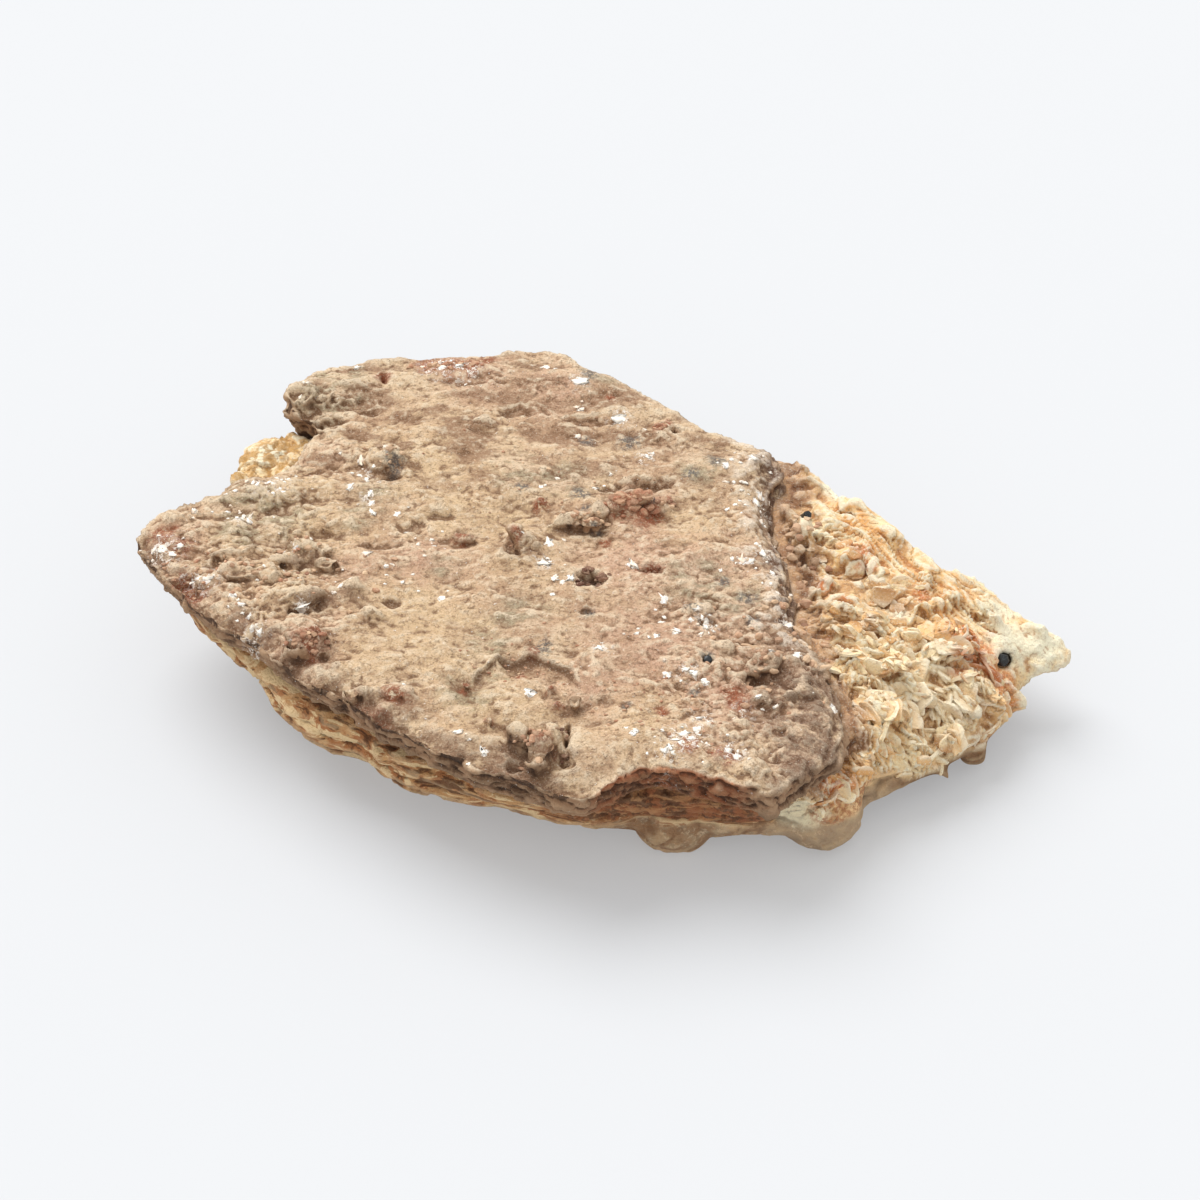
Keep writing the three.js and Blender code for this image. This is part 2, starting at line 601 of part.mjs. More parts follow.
// The origin is the middle of the bounding box, on the surface that the specimen lies on.
const bounds = new THREE.Box3().setFromObject(specimen);
specimen.position.set(
  -0.5 * (bounds.min.x + bounds.max.x),
  -0.5 * (bounds.min.y + bounds.max.y),
  -bounds.min.z,
);

export default specimen;
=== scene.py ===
import itertools
import math
import random

import bmesh
import bpy
import numpy as np
from mathutils import Euler, Matrix, Vector, noise
from mathutils.bvhtree import BVHTree


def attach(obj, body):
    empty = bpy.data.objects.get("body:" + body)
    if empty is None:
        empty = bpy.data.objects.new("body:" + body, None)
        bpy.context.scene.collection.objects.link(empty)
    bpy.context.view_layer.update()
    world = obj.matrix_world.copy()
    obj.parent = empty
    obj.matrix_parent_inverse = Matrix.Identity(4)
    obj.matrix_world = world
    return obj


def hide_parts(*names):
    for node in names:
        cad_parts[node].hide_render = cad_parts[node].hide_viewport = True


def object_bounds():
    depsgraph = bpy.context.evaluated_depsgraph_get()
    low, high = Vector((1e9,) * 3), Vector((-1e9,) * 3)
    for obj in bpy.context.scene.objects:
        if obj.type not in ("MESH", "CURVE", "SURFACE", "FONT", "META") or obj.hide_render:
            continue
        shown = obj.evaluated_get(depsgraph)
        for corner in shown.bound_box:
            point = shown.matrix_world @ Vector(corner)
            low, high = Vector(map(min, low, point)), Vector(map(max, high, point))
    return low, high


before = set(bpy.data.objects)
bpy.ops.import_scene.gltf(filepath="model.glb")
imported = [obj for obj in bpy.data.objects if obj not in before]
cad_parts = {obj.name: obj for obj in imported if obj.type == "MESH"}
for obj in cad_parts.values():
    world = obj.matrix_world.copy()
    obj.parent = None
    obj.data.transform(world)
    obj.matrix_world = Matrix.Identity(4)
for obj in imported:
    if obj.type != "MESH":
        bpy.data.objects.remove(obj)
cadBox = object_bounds()
print("packed model loaded")

mm = 0.001
cadLow = np.array(cadBox[0]) / mm
cadHigh = np.array(cadBox[1]) / mm

# what the camera and the studio are
studio = {
    "target": (-0.1, 0.6, 13),
    "away": 450,
    "elevation": 42,
    "lens": 81,
    "lightFrom": (-0.38, 0.5, 0.86),
    "lightSpread": 46,
    "lightPower": 2.8,
    "fill": 0.92,
    "floorTone": (167, 169, 172),
    "floorGlow": 0.3,
}


def linear(tone):
    # a screen colour of 0 to 255 as the linear colour that a shader wants
    parts = [part / 255 for part in tone]
    bright = [((part + 0.055) / 1.055) ** 2.4 for part in parts]
    return [part / 12.92 if part < 0.04045 else light for part, light in zip(parts, bright)] + [1.0]


class Value:
    # one output socket, so that shader maths reads as plain sums
    def __init__(self, surface, socket):
        self.surface = surface
        self.socket = socket

    def sum(self, operation, first, second):
        return self.surface.add("ShaderNodeMath", {"operation": operation}, {0: first, 1: second})

    def __add__(self, other):
        return self.sum("ADD", self, other)

    def __radd__(self, other):
        return self.sum("ADD", other, self)

    def __sub__(self, other):
        return self.sum("SUBTRACT", self, other)

    def __rsub__(self, other):
        return self.sum("SUBTRACT", other, self)

    def __mul__(self, other):
        return self.sum("MULTIPLY", self, other)

    def __rmul__(self, other):
        return self.sum("MULTIPLY", other, self)


class Surface:
    # a material and the nodes it is made from
    def __init__(self, name):
        self.material = bpy.data.materials.new(name)
        self.material.use_nodes = True
        self.tree = self.material.node_tree
        self.shader = self.tree.nodes["Principled BSDF"]

    def add(self, kind, settings=None, sockets=None, out=0):
        node = self.tree.nodes.new(kind)
        for key, value in (settings or {}).items():
            setattr(node, key, value)
        for key, value in (sockets or {}).items():
            if isinstance(value, Value):
                self.tree.links.new(value.socket, node.inputs[key])
            else:
                node.inputs[key].default_value = value
        return Value(self, node.outputs[out])

    def place(self, stretch=(1, 1, 1)):
        # where a point is on the object, in millimetres
        spot = self.add("ShaderNodeTexCoord", out=3)
        return self.add("ShaderNodeMapping", {}, {"Vector": spot, "Scale": [part / mm for part in stretch]})

    def grain(self, size, detail=2, rough=0.5, where=None, warp=0):
        sockets = {"Vector": where or self.place(), "Scale": 1 / size, "Detail": detail}
        sockets.update({"Roughness": rough, "Distortion": warp})
        return self.add("ShaderNodeTexNoise", {"noise_dimensions": "3D"}, sockets)

    def cells(self, size):
        sockets = {"Vector": self.place(), "Scale": 1 / size}
        return self.add("ShaderNodeTexVoronoi", {"feature": "F1"}, sockets)

    def between(self, value, low, high):
        # 0 below low, 1 above high, smooth in between
        sockets = {"Value": value, "From Min": low, "From Max": high}
        return self.add("ShaderNodeMapRange", {"interpolation_type": "SMOOTHSTEP"}, sockets)

    def mask(self, name):
        return self.add("ShaderNodeAttribute", {"attribute_name": name}, out=2)

    def blend(self, first, second, share, kind="MIX"):
        settings = {"data_type": "RGBA", "blend_type": kind, "clamp_factor": True}
        first = first if isinstance(first, Value) else linear(first)
        second = second if isinstance(second, Value) else linear(second)
        return self.add("ShaderNodeMix", settings, {0: share, 6: first, 7: second}, out=2)

    def painted(self, colour, *coats):
        # each coat is a tone, and how much of what lies below it hides
        for tone, share in coats:
            colour = self.blend(colour, tone, share)
        return colour

    def bump(self, height, depth, strength):
        sockets = {"Height": height, "Distance": depth * mm, "Strength": strength}
        return self.add("ShaderNodeBump", {}, sockets)

    def finish(self, colour, roughness, normal=None, specular=0.3):
        links = {"Base Color": colour, "Roughness": roughness, "Normal": normal}
        for key, value in links.items():
            if isinstance(value, Value):
                self.tree.links.new(value.socket, self.shader.inputs[key])
            elif value is not None:
                self.shader.inputs[key].default_value = value
        self.shader.inputs["Specular IOR Level"].default_value = specular
        return self.material


def setCamera():
    lens = bpy.data.cameras.new("photoCamera")
    lens.lens = studio["lens"]
    lens.sensor_width = 36
    lens.clip_start = 0.01
    lens.clip_end = 20
    camera = bpy.data.objects.new("photoCamera", lens)
    bpy.context.scene.collection.objects.link(camera)
    lift = math.radians(studio["elevation"])
    back = Vector((0, -math.cos(lift), math.sin(lift))) * studio["away"]
    camera.location = (Vector(studio["target"]) + back) * mm
    camera.rotation_euler = (math.pi / 2 - lift, 0, 0)
    bpy.context.scene.camera = camera


def floorPaper():
    paper = Surface("pale_floor")
    tint = paper.grain(60, 2)
    colour = paper.blend(studio["floorTone"], (165, 167, 170), 0.3 * tint)
    paper.finish(colour, 0.9, specular=0.1)
    paper.shader.inputs["Emission Color"].default_value = (0.94, 0.95, 0.97, 1)
    paper.shader.inputs["Emission Strength"].default_value = studio["floorGlow"]
    return paper.material


def setStudio():
    bm = bmesh.new()
    bmesh.ops.create_grid(bm, x_segments=1, y_segments=1, size=4)
    mesh = bpy.data.meshes.new("floor")
    bm.to_mesh(mesh)
    bm.free()
    floor = bpy.data.objects.new("floor", mesh)
    bpy.context.scene.collection.objects.link(floor)
    mesh.materials.append(floorPaper())

    sun = bpy.data.lights.new("softbox", "SUN")
    sun.energy = studio["lightPower"]
    sun.angle = math.radians(studio["lightSpread"])
    lamp = bpy.data.objects.new("softbox", sun)
    bpy.context.scene.collection.objects.link(lamp)
    lamp.rotation_euler = Vector(studio["lightFrom"]).to_track_quat("Z", "Y").to_euler()

    world = bpy.data.worlds.new("studio")
    world.use_nodes = True
    world.node_tree.nodes["Background"].inputs["Color"].default_value = (1, 0.985, 0.955, 1)
    world.node_tree.nodes["Background"].inputs["Strength"].default_value = studio["fill"]
    bpy.context.scene.world = world
    bpy.context.scene.view_settings.view_transform = "Standard"
    bpy.context.scene.view_settings.look = "None"


setCamera()
setStudio()
print("camera, light and floor are set")


# noise on many points at once

ways = np.random.default_rng(5).normal(size=(1024, 3))
ways /= np.linalg.norm(ways, axis=1)[:, None]
wayX, wayY, wayZ = ways.T.copy()
jitter = np.random.default_rng(8).random((1024, 4))


def numberAt(x, y, z, seed):
    # the same random number, 0 to 1023, each time for each whole place
    mixed = x * 73856093 ^ y * 19349663 ^ z * 83492791 ^ (seed * 7919 + 11)
    mixed = (mixed ^ (mixed >> 13)) * 1274126177
    return (mixed ^ (mixed >> 16)) & 1023


def wander(points, size, seed=0):
    # smooth and even, about -1 to 1, with swells as wide as size
    spot = points / np.array(size, float) + 31.7
    corner = np.floor(spot)
    part = (spot - corner).T.copy()
    share = part * part * part * (part * (part * 6 - 15) + 10)
    corner = corner.astype(np.int64).T.copy()
    total = np.zeros(len(points))
    for i, j, k in itertools.product((0, 1), repeat=3):
        which = numberAt(corner[0] + i, corner[1] + j, corner[2] + k, seed)
        weight = share[0] if i else 1 - share[0]
        weight = weight * (share[1] if j else 1 - share[1])
        weight = weight * (share[2] if k else 1 - share[2])
        slope = wayX[which] * (part[0] - i) + wayY[which] * (part[1] - j) + wayZ[which] * (part[2] - k)
        total += weight * slope
    return np.clip(total * 1.7, -1, 1)


def rubble(points, size, octaves, gain, seed=0):
    # swells with finer and finer ones on them
    total = np.zeros(len(points))
    for turn in range(octaves):
        total += gain**turn * wander(points, np.array(size) / 1.9**turn, seed + 7 * turn)
    return total


def scattered(points, size, seed):
    # the scattered points round each place, one at a time: its number, and how far along x, y and z
    spot = (points / np.array(size, float) + 31.7).T.copy()
    corner = np.floor(spot).astype(np.int64)
    for i, j, k in itertools.product((-1, 0, 1), repeat=3):
        cell = (corner[0] + i, corner[1] + j, corner[2] + k)
        which = numberAt(*cell, seed)
        yield which, [spot[axis] - cell[axis] - jitter[which, axis] for axis in range(3)]


def shards(points, size, seed=0):
    # broken faces, each at its own height and its own tilt, about -1 to 1
    near = np.full(len(points), 9.0)
    second = near.copy()
    height = np.zeros(len(points))
    for which, (alongX, alongY, alongZ) in scattered(points, size, seed):
        away = (alongX**2 + alongY**2 + alongZ**2) ** 0.5
        tilted = wayX[which] * alongX + wayY[which] * alongY + wayZ[which] * alongZ
        second = np.minimum(second, np.maximum(near, away))
        height = np.where(away < near, 1.5 * tilted + jitter[which, 3] - 0.5, height)
        near = np.minimum(near, away)
    return height * step(second - near, 0, 0.16)


def domes(points, size, share, seed=0):
    # rounded bumps on a share of the scattered points, 0 to 1
    near = np.full(len(points), 9.0)
    pick = np.zeros(len(points))
    for which, (alongX, alongY, alongZ) in scattered(points, size, seed):
        away = (alongX**2 + alongY**2 + alongZ**2) ** 0.5
        pick = np.where(away < near, jitter[which, 3], pick)
        near = np.minimum(near, away)
    radius = 0.34 + 0.34 * (pick * 7.3 % 1)
    return np.where(pick < share, np.sqrt(np.clip(1 - (near / radius) ** 2, 0, 1)), 0) * radius / 0.6


def step(value, low, high):
    share = np.clip((value - low) / (high - low), 0, 1)
    return share * share * (3 - 2 * share)


def spots(points, places, softness=0.55, seed=3):
    # 1 on the named places and 0 away from them, with an uneven edge
    total = np.zeros(len(points))
    uneven = 0.35 * wander(points, (2.6, 2.2, 2.6), seed) + 0.25 * wander(points, (1, 0.9, 1), seed + 1)
    for x, y, radius in places:
        away = np.hypot(points[:, 0] - x, points[:, 1] - y) / radius + uneven
        total = np.maximum(total, step(away, 1 + 0.5 * softness, 1 - softness))
    return total


# meshes as arrays, in millimetres


def pointsOf(mesh):
    flat = np.empty(len(mesh.vertices) * 3)
    mesh.vertices.foreach_get("co", flat)
    return flat.reshape(-1, 3) / mm


def normalsOf(mesh):
    flat = np.empty(len(mesh.vertices) * 3)
    mesh.vertex_normals.foreach_get("vector", flat)
    return flat.reshape(-1, 3)


def movePoints(mesh, points):
    mesh.vertices.foreach_set("co", (points * mm).ravel())
    mesh.update()


def evened(mesh, values, turns):
    # each value pulled to the mean of its neighbours, over and over
    ends = np.empty(len(mesh.edges) * 2, np.int64)
    mesh.edges.foreach_get("vertices", ends)
    ends = ends.reshape(-1, 2)
    both = np.concatenate([ends[:, 0], ends[:, 1]])
    across = np.concatenate([ends[:, 1], ends[:, 0]])
    count = np.maximum(np.bincount(both, minlength=len(values)), 1)
    values = values.copy()
    for _ in range(turns):
        for axis in range(values.shape[1]):
            mean = np.bincount(both, weights=values[across, axis], minlength=len(values)) / count
            values[:, axis] += 0.6 * (mean - values[:, axis])
    return values


def setMask(mesh, name, values):
    mask = mesh.attributes.new(name, "FLOAT", "POINT")
    mask.data.foreach_set("value", np.clip(values, 0, 1).astype(np.float32))


def hollowness(mesh, reach, scale):
    # 0.5 on the flat, towards 1 in hollows and towards 0 on crests
    points = pointsOf(mesh)
    inward = ((evened(mesh, points, reach) - points) * normalsOf(mesh)).sum(axis=1)
    return 0.5 + 0.5 * np.clip(inward / scale, -1, 1)


def broadNormals(mesh, turns):
    # the way that the surface faces, without its small unevenness
    broad = evened(mesh, normalsOf(mesh), turns)
    return broad / np.maximum(np.linalg.norm(broad, axis=1)[:, None], 0.2)


def applyModifiers(piece):
    graph = bpy.context.evaluated_depsgraph_get()
    mesh = bpy.data.meshes.new_from_object(piece.evaluated_get(graph))
    old = piece.data
    piece.modifiers.clear()
    piece.data = mesh
    bpy.data.meshes.remove(old)
    mesh.name = piece.name


def newPiece(name, bm, slotName, *nodes):
    mesh = bpy.data.meshes.new(name)
    bm.to_mesh(mesh)
    bm.free()
    piece = bpy.data.objects.new(name, mesh)
    bpy.context.scene.collection.objects.link(piece)
    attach(piece, "root")
    if nodes:
        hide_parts(*nodes)
    return piece


def remeshed(piece, voxel, turns):
    weld = piece.modifiers.new("weld", "REMESH")
    weld.mode = "VOXEL"
    weld.voxel_size = voxel * mm
    weld.adaptivity = 0
    applyModifiers(piece)
    movePoints(piece.data, evened(piece.data, pointsOf(piece.data), turns))


def thinned(piece, most):
    count = sum(len(face.vertices) - 2 for face in piece.data.polygons)
    if count > most:
        trim = piece.modifiers.new("trim", "DECIMATE")
        trim.ratio = most / count
        trim.use_collapse_triangulate = True
        applyModifiers(piece)


def shadeSmooth(piece):
    piece.data.polygons.foreach_set("use_smooth", [True] * len(piece.data.polygons))


def keepInBox(points):
    return np.clip(points, cadLow, cadHigh)


def nodeCopy(name):
    bm = bmesh.new()
    bm.from_mesh(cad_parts[name].data)
    bmesh.ops.remove_doubles(bm, verts=bm.verts, dist=0.002 * mm)
    return bm


def treeOf(piece):
    # the finished surface, to drop other pieces on
    return BVHTree.FromPolygons(
        [vertex.co[:] for vertex in piece.data.vertices],
        [face.vertices[:] for face in piece.data.polygons],
    )


def dropOn(tree, x, y):
    # what a point high above the rock meets on its way straight down
    return tree.ray_cast(Vector((x, y, 60)) * mm, Vector((0, 0, -1)))


def balls(count, detail, *masks):
    # many unit balls in one mesh; the points of each one follow those of the one before
    bm = bmesh.new()
    layers = {name: bm.verts.layers.float.new(name) for name in masks}
    bmesh.ops.create_icosphere(bm, subdivisions=detail, radius=1)
    each = len(bm.verts)
    while len(bm.verts) < count * each:
        bmesh.ops.duplicate(bm, geom=bm.verts[:] + bm.edges[:] + bm.faces[:])
    bm.verts.ensure_lookup_table()
    bmesh.ops.delete(bm, geom=bm.verts[count * each :], context="VERTS")
    bm.verts.ensure_lookup_table()
    return bm, [bm.verts[each * i : each * (i + 1)] for i in range(count)], layers


def shapeLump(ball, place, half, turn=(0, 0, 0), uneven=0.2):
    # a rounded lump with an uneven skin
    spin = Euler(turn).to_matrix()
    place = Vector(place)
    for vert in ball:
        swell = 1 + uneven * noise.noise(vert.co * 1.6 + place)
        swell += 0.4 * uneven * noise.noise(vert.co * 4.1 + place)
        shaped = Vector([axis * size * swell for axis, size in zip(vert.co, half)])
        vert.co = (spin @ shaped + place) * mm


def addTo(piece, bm):
    # the balls join a piece's mesh, before it is welded
    bm.from_mesh(piece.data)
    bm.to_mesh(piece.data)
    bm.free()


# the near-black prisms, which both kinds of rock leave room for

prisms = {
    "black_crystal_tip": {"at": (65.5, -13.6, 12.8), "radius": 1.15, "long": 3, "lean": (0.9, -0.35)},
    "black_crystal_crust": {"at": (16.7, -25.7, 23.7), "radius": 0.7, "long": 2, "lean": (0.35, 0.1)},
    "black_crystal_ledge": {"at": (34.5, 13.2, 20.6), "radius": 0.75, "long": 2.2, "lean": (0.5, 0.4)},
}

# the brown crust

crust = {
    "voxel": 0.42,
    "triangles": 190000,
    # how deep or high each kind of relief is, in millimetres
    "swell": 0.5,
    "rubble": 0.26,
    "bump": 0.24,
    "knob": 0.7,
    "pock": 0.3,
    "chip": 0.3,
    "bevel": 1.3,
    "ledge": 0.8,
    "lap": 0.6,
    "grit": 0.1,
    "sideLayers": 0.7,
    # place, half sizes and height of the middle of each nodule
    "nodules": [
        (-36.6, 22.6, 25.8, 2.6, 2, 1.7), (-34.2, 20.4, 25.2, 1.7, 1.4, 1.2),
        (-32.4, 18.8, 25, 1.4, 1, 0.9), (-47.4, -23.4, 25.2, 2, 1.8, 1.8),
        (-45.2, -22.2, 25.4, 2.2, 1.7, 1.6), (-44.2, -24.2, 24.9, 1.5, 1.3, 1.2),
        (-13.6, 1.6, 26, 2.2, 1.7, 1.4), (-11.6, 0.2, 25.2, 1.5, 1.3, 1.2), (-9.9, 11, 25.1, 1, 1.2, 0.9),
        (-22.6, 2.7, 25, 1.7, 0.8, 0.7), (-4.2, 7.4, 25.2, 3.3, 0.9, 0.8), (-1.6, 6.2, 25.2, 2, 0.9, 0.7),
        (-12.2, -43.4, 24.9, 2, 1.9, 1.8), (-9.2, -46, 25, 1.7, 2, 1.9), (-7.6, -42.2, 24.9, 1.3, 1.7, 1.4),
        (-9.8, -48, 24.4, 1.5, 1.3, 1.6), (-17.2, -39.4, 24.6, 0.7, 0.7, 0.6),
        (-20.9, -32.1, 24.8, 0.9, 0.8, 0.7), (-10.6, -24.2, 24.3, 1.4, 0.9, 0.9),
        (-12.4, -28.6, 24.2, 0.8, 0.7, 0.7), (-3.9, -35.8, 24.6, 0.9, 0.8, 0.7),
        (-6.7, -35.8, 24.4, 0.7, 0.6, 0.6), (-7.7, -32.9, 24.6, 0.9, 0.8, 0.7),
        (-16.7, -25.7, 24.5, 1.6, 1, 0.7), (-31.7, -33.8, 24.8, 3, 1.1, 1),
        (24.6, -26.4, 23.6, 1.6, 1.5, 1.5), (26.6, -25.4, 23.4, 1.4, 1.3, 1.5),
        (-37.6, -33.2, 24.2, 2.4, 1.1, 1.1), (-34.4, -37, 24, 1.9, 1.1, 1.1),
        (-60, -0.8, 24.8, 3.6, 0.9, 0.8), (-51, -2.6, 24.8, 3, 0.9, 0.8), (-44.6, -3.4, 24.7, 1.8, 1, 0.8),
        (-57, -6.2, 24.7, 3.6, 0.9, 0.8), (-50.6, -9.4, 24.6, 2.8, 0.9, 0.9),
        (-47.5, -12.6, 24.5, 2.6, 1.2, 0.9), (-63.6, -7.4, 24.5, 2.2, 0.8, 0.8),
        (-39.8, -9.2, 24.9, 1.6, 1, 0.8), (-36.6, -15.4, 24.8, 1.7, 1, 0.8),
        (-54.6, -15, 24.5, 2.2, 0.9, 0.8), (28.6, -33, 22.6, 1.6, 1.4, 1.2),
        (19.6, -22.8, 24.2, 1.2, 1, 0.8), (15.4, -14.6, 24.8, 3, 0.8, 0.7),
        (27.6, -38.6, 22, 2.6, 1.2, 1.1), (31.6, -30.6, 22.4, 1.5, 1.3, 1.2),
        (22, -41, 22.8, 1.5, 1.2, 0.8), (33.6, -25.6, 21.6, 2, 1.4, 1.3), (24.8, -33.6, 22.9, 1.8, 1.2, 1),
        (-52.4, 36.6, 25.2, 1.5, 1.1, 1), (-48.4, 38.8, 26, 1.6, 1.2, 1), (-50.6, 40.2, 26, 1.4, 1, 0.9),
    ],
    # place and radius of other nodules to cut
    "cut": [(-14, -45.1, 2.8), (-57.6, -20.6, 2.8)],
    # place, half widths and depth of each pit
    "pits": [
        (-1.8, -6.6, 2.4, 1.7, 2.1), (-2.2, -14.6, 1.2, 0.8, 0.8), (8.2, -5, 2.3, 0.9, 1),
        (12.8, 31.2, 1, 0.9, 1.6), (10.2, 31.3, 0.6, 0.6, 0.9), (-38.3, 45.2, 0.9, 1.8, 1),
        (-48.6, 33, 1.7, 1.2, 1.8), (-45.4, 33.8, 1.6, 1, 1), (7.6, 17, 4.6, 1.6, 1),
        (-4.9, -40.4, 0.6, 1.6, 2), (-5, -43.6, 0.7, 2, 2), (-5.6, -46.4, 0.9, 1.6, 1.2),
        (-12.6, -47.4, 1.8, 0.8, 1.3), (-2.6, -27.2, 1.2, 1.8, 0.4), (-5.4, -24.2, 3.4, 0.9, 0.3),
        (-18, -25, 1.2, 2, 0.2), (17.2, -17.4, 1.6, 1.2, 0.9), (23.4, -28.9, 1.7, 0.9, 0.7),
        (-35.2, 18, 1.8, 0.7, 0.7), (-14.4, -0.9, 1.6, 0.7, 0.9), (-33.4, -12.2, 1.6, 1, 0.8),
        (-31, 6, 3, 1.6, 0.7), (-19.6, 14.6, 3.4, 1.8, 0.6), (-2, 33.8, 4.4, 1.2, 0.8),
        (-14, 36.4, 4.6, 1.6, 0.8), (-22, 45, 5.6, 1.6, 0.7), (3.2, 15.8, 3.4, 1.2, 0.7),
        (-27, 8.6, 2.6, 0.8, 0.4), (22.6, -21.4, 1.8, 1, 0.9), (26.8, -19.4, 1.4, 2, 0.8),
        (-44.8, -20.2, 2, 0.7, 0.5), (-40.6, 36.4, 2, 0.9, 0.6), (-46.6, 4.8, 3, 0.8, 0.5),
        (-36, 1.6, 3.6, 0.8, 0.5), (30, -19, 1.5, 1.6, 0.7),
    ],
    "rust": [
        (-30.2, 49.6, 3), (-26.7, 49.3, 3.4), (-23.1, 49, 2.6), (-20.3, 50.7, 2), (-67.5, -7.1, 2.6),
        (-65.1, -10, 2), (-22.6, 2.8, 1.8), (-9.9, 11, 1.4), (5.6, 10.5, 3), (8.6, 12, 2.6),
        (2.8, 9.9, 2.4), (7.2, 9, 3.4), (20.8, -32.9, 2.6), (21.5, -35.4, 2), (13.6, -44.8, 2.4),
        (18.4, -46, 2.4), (9.5, -36.8, 1.2), (-17.2, -39.3, 0.9), (-21, -32.1, 1.1), (-12.4, -28.9, 1),
        (-10.6, -24.3, 1.2), (9.9, 31.9, 1.4), (11.7, 32.7, 1.2), (1.8, 39.7, 1), (-45.6, -23, 3),
        (-38.3, 45.5, 1.8), (-71.7, 3.6, 3), (-68.9, 1, 2.4), (0.9, 3, 1.2), (8.1, -4.9, 2),
        (-38.4, -36.4, 2.8), (-34.2, -38.6, 2.4), (-31.7, -34.4, 2.2), (-9, -44.6, 2.2), (-7.7, -32.9, 1),
        (-6.7, -35.8, 0.9), (-13.6, 1, 1.4),
    ],
    "slate": [
        (-13, 15.5, 1.4), (-3.2, 14, 1.8), (-2.9, 9.7, 1.3), (-2.5, 28.4, 1.6), (5, 28, 2.2),
        (-1.7, 45.8, 1.8), (15.3, 19.1, 1.5), (4.4, 15.1, 1.6), (-9, -23, 1.7), (-2.1, -15.2, 1.5),
        (19.8, 22.3, 1.8), (23.5, -10.8, 1.6), (19.8, -7.1, 1.2), (24.4, -16.9, 1.5), (3.9, -35.7, 1),
        (-0.6, 5.3, 1.2), (-34.8, 20.6, 1.9), (8.3, 11.2, 1), (14.6, -32.3, 1), (16.9, -25.2, 1.3),
        (14.6, -13.8, 2), (7, 13.6, 1.4),
    ],
    "olive": [
        (-58.4, 11.2, 6), (-54, 8.7, 5), (-12.8, -15.3, 5), (-38.2, 13.3, 4), (-25.3, -3.9, 3),
        (-17.4, -21.9, 4), (-15.6, -28.9, 3), (-40.7, 7.4, 3), (-0.1, 46.9, 4), (16.8, 20.4, 4),
        (-6.8, 17.8, 5), (-13.6, 20.4, 5), (16.1, -7.6, 6), (22.4, -12.4, 5), (-21, -32.8, 5),
        (-47.2, 39.7, 6), (-46, 46.9, 5), (-59.5, 4.8, 4),
    ],
    "rose": [
        (6.4, -2.7, 12), (16.2, -2.7, 12), (9.4, -21.9, 14), (22.2, -17.2, 10), (-0.1, -32.8, 10),
        (18.5, -32.3, 12), (-58.2, -7.6, 10), (-47.4, -21.9, 8), (-40.8, -2.7, 8), (-29.4, -2.7, 7),
        (-23, 45.5, 8), (-8.8, 42.6, 8), (-65.8, 2.3, 8), (6.6, 12.5, 6), (-46, 23.1, 6),
    ],
    "gold": [
        (-29, 23.1, 14), (-16.6, 7.4, 8), (-28.6, -19.5, 12), (-18.6, -34.9, 10), (-6.2, -41.2, 8),
        (6.1, -38.4, 8), (-13.1, -2.7, 6), (-25.1, 12.5, 8), (-32.1, -12.4, 8), (16.5, 7.4, 8),
        (-37.9, -21.9, 6), (-53, -5, 13), (-60, 3, 9), (-45, 6, 10), (-50, 16, 8),
    ],
    "dust": [
        (-71, 0, 3.4), (-64.6, -6.9, 3.4), (-55.3, 15.9, 3), (-38.6, 13, 1.8), (-40, 19, 1.8),
        (-36.6, 23.4, 1.8), (14, -28.6, 2.2), (15.6, -38.4, 2.4), (12.4, -42.9, 3.6), (19.8, -44.9, 2.4),
        (16.6, -17.8, 2), (26.7, -0.4, 2), (27, 12, 1.6), (-9.2, -3.2, 1.8), (-47.8, -13.4, 1.6),
        (-54.7, -19.1, 2.4), (3.5, 34, 2.2), (-3.6, 43.6, 2.2), (7.8, 24.3, 2), (-28.6, 48.6, 3.6),
        (-24, 47.8, 3), (29.6, -15, 2), (10.4, -45.6, 2.4), (0, -24, 1.8), (22, -36.6, 2), (-60, 7, 1.6),
    ],
    # place and full widths of each white mark
    "chalk": [
        (-9.7, 49, 1.5, 1), (-8, 48.1, 0.8, 0.7), (-3.6, 43.6, 3, 1.5), (-3.4, 37, 1.5, 1.5),
        (3.5, 34, 3, 1.9), (-3.8, 30.3, 1, 1.2), (-7.2, 18.7, 1.2, 0.7), (-10, 15.9, 0.8, 1.2),
        (-0.9, 15.9, 1, 0.7), (-8.5, 1.4, 1.4, 2.4), (-9.2, -3.2, 2.8, 2.1), (-7.4, -7.2, 1.2, 1),
        (-6.2, -7.9, 1, 0.9), (-4.8, -7, 1.4, 1.5), (-25.5, -10.9, 1.4, 1.5), (-29.9, 1.7, 0.7, 0.8),
        (-27.8, 2.9, 1, 0.7), (5.2, -3.3, 1, 2.9), (7.8, 24.3, 1.4, 0.9), (9.6, -16.6, 1.2, 1.1),
        (12.2, -19.8, 1.4, 1), (-32.1, -7.6, 0.7, 0.7), (-40.6, 22.5, 1, 1.9), (-40.6, 19.1, 0.9, 1.2),
        (-39.5, 18, 0.9, 1.1), (-37.3, 16.7, 0.7, 0.8), (-41.9, 15.1, 0.6, 1.8), (-38.5, 14, 0.7, 1.7),
        (-38.1, 11.6, 0.5, 2.1), (-38, 9.3, 0.8, 1.7), (-33.9, 8.7, 1, 1.2), (-48.5, 3.7, 0.6, 0.8),
        (-38.3, -0.8, 1.7, 1.7), (-49.8, -1.1, 1, 0.8), (-59.8, 7.5, 1.7, 1.1), (-58.2, 7, 0.9, 1.2),
        (-61.2, 14.2, 1, 1.2), (-53, 13.6, 0.7, 1), (-55.8, 16.3, 1, 0.8), (-54.8, 15.5, 0.9, 0.8),
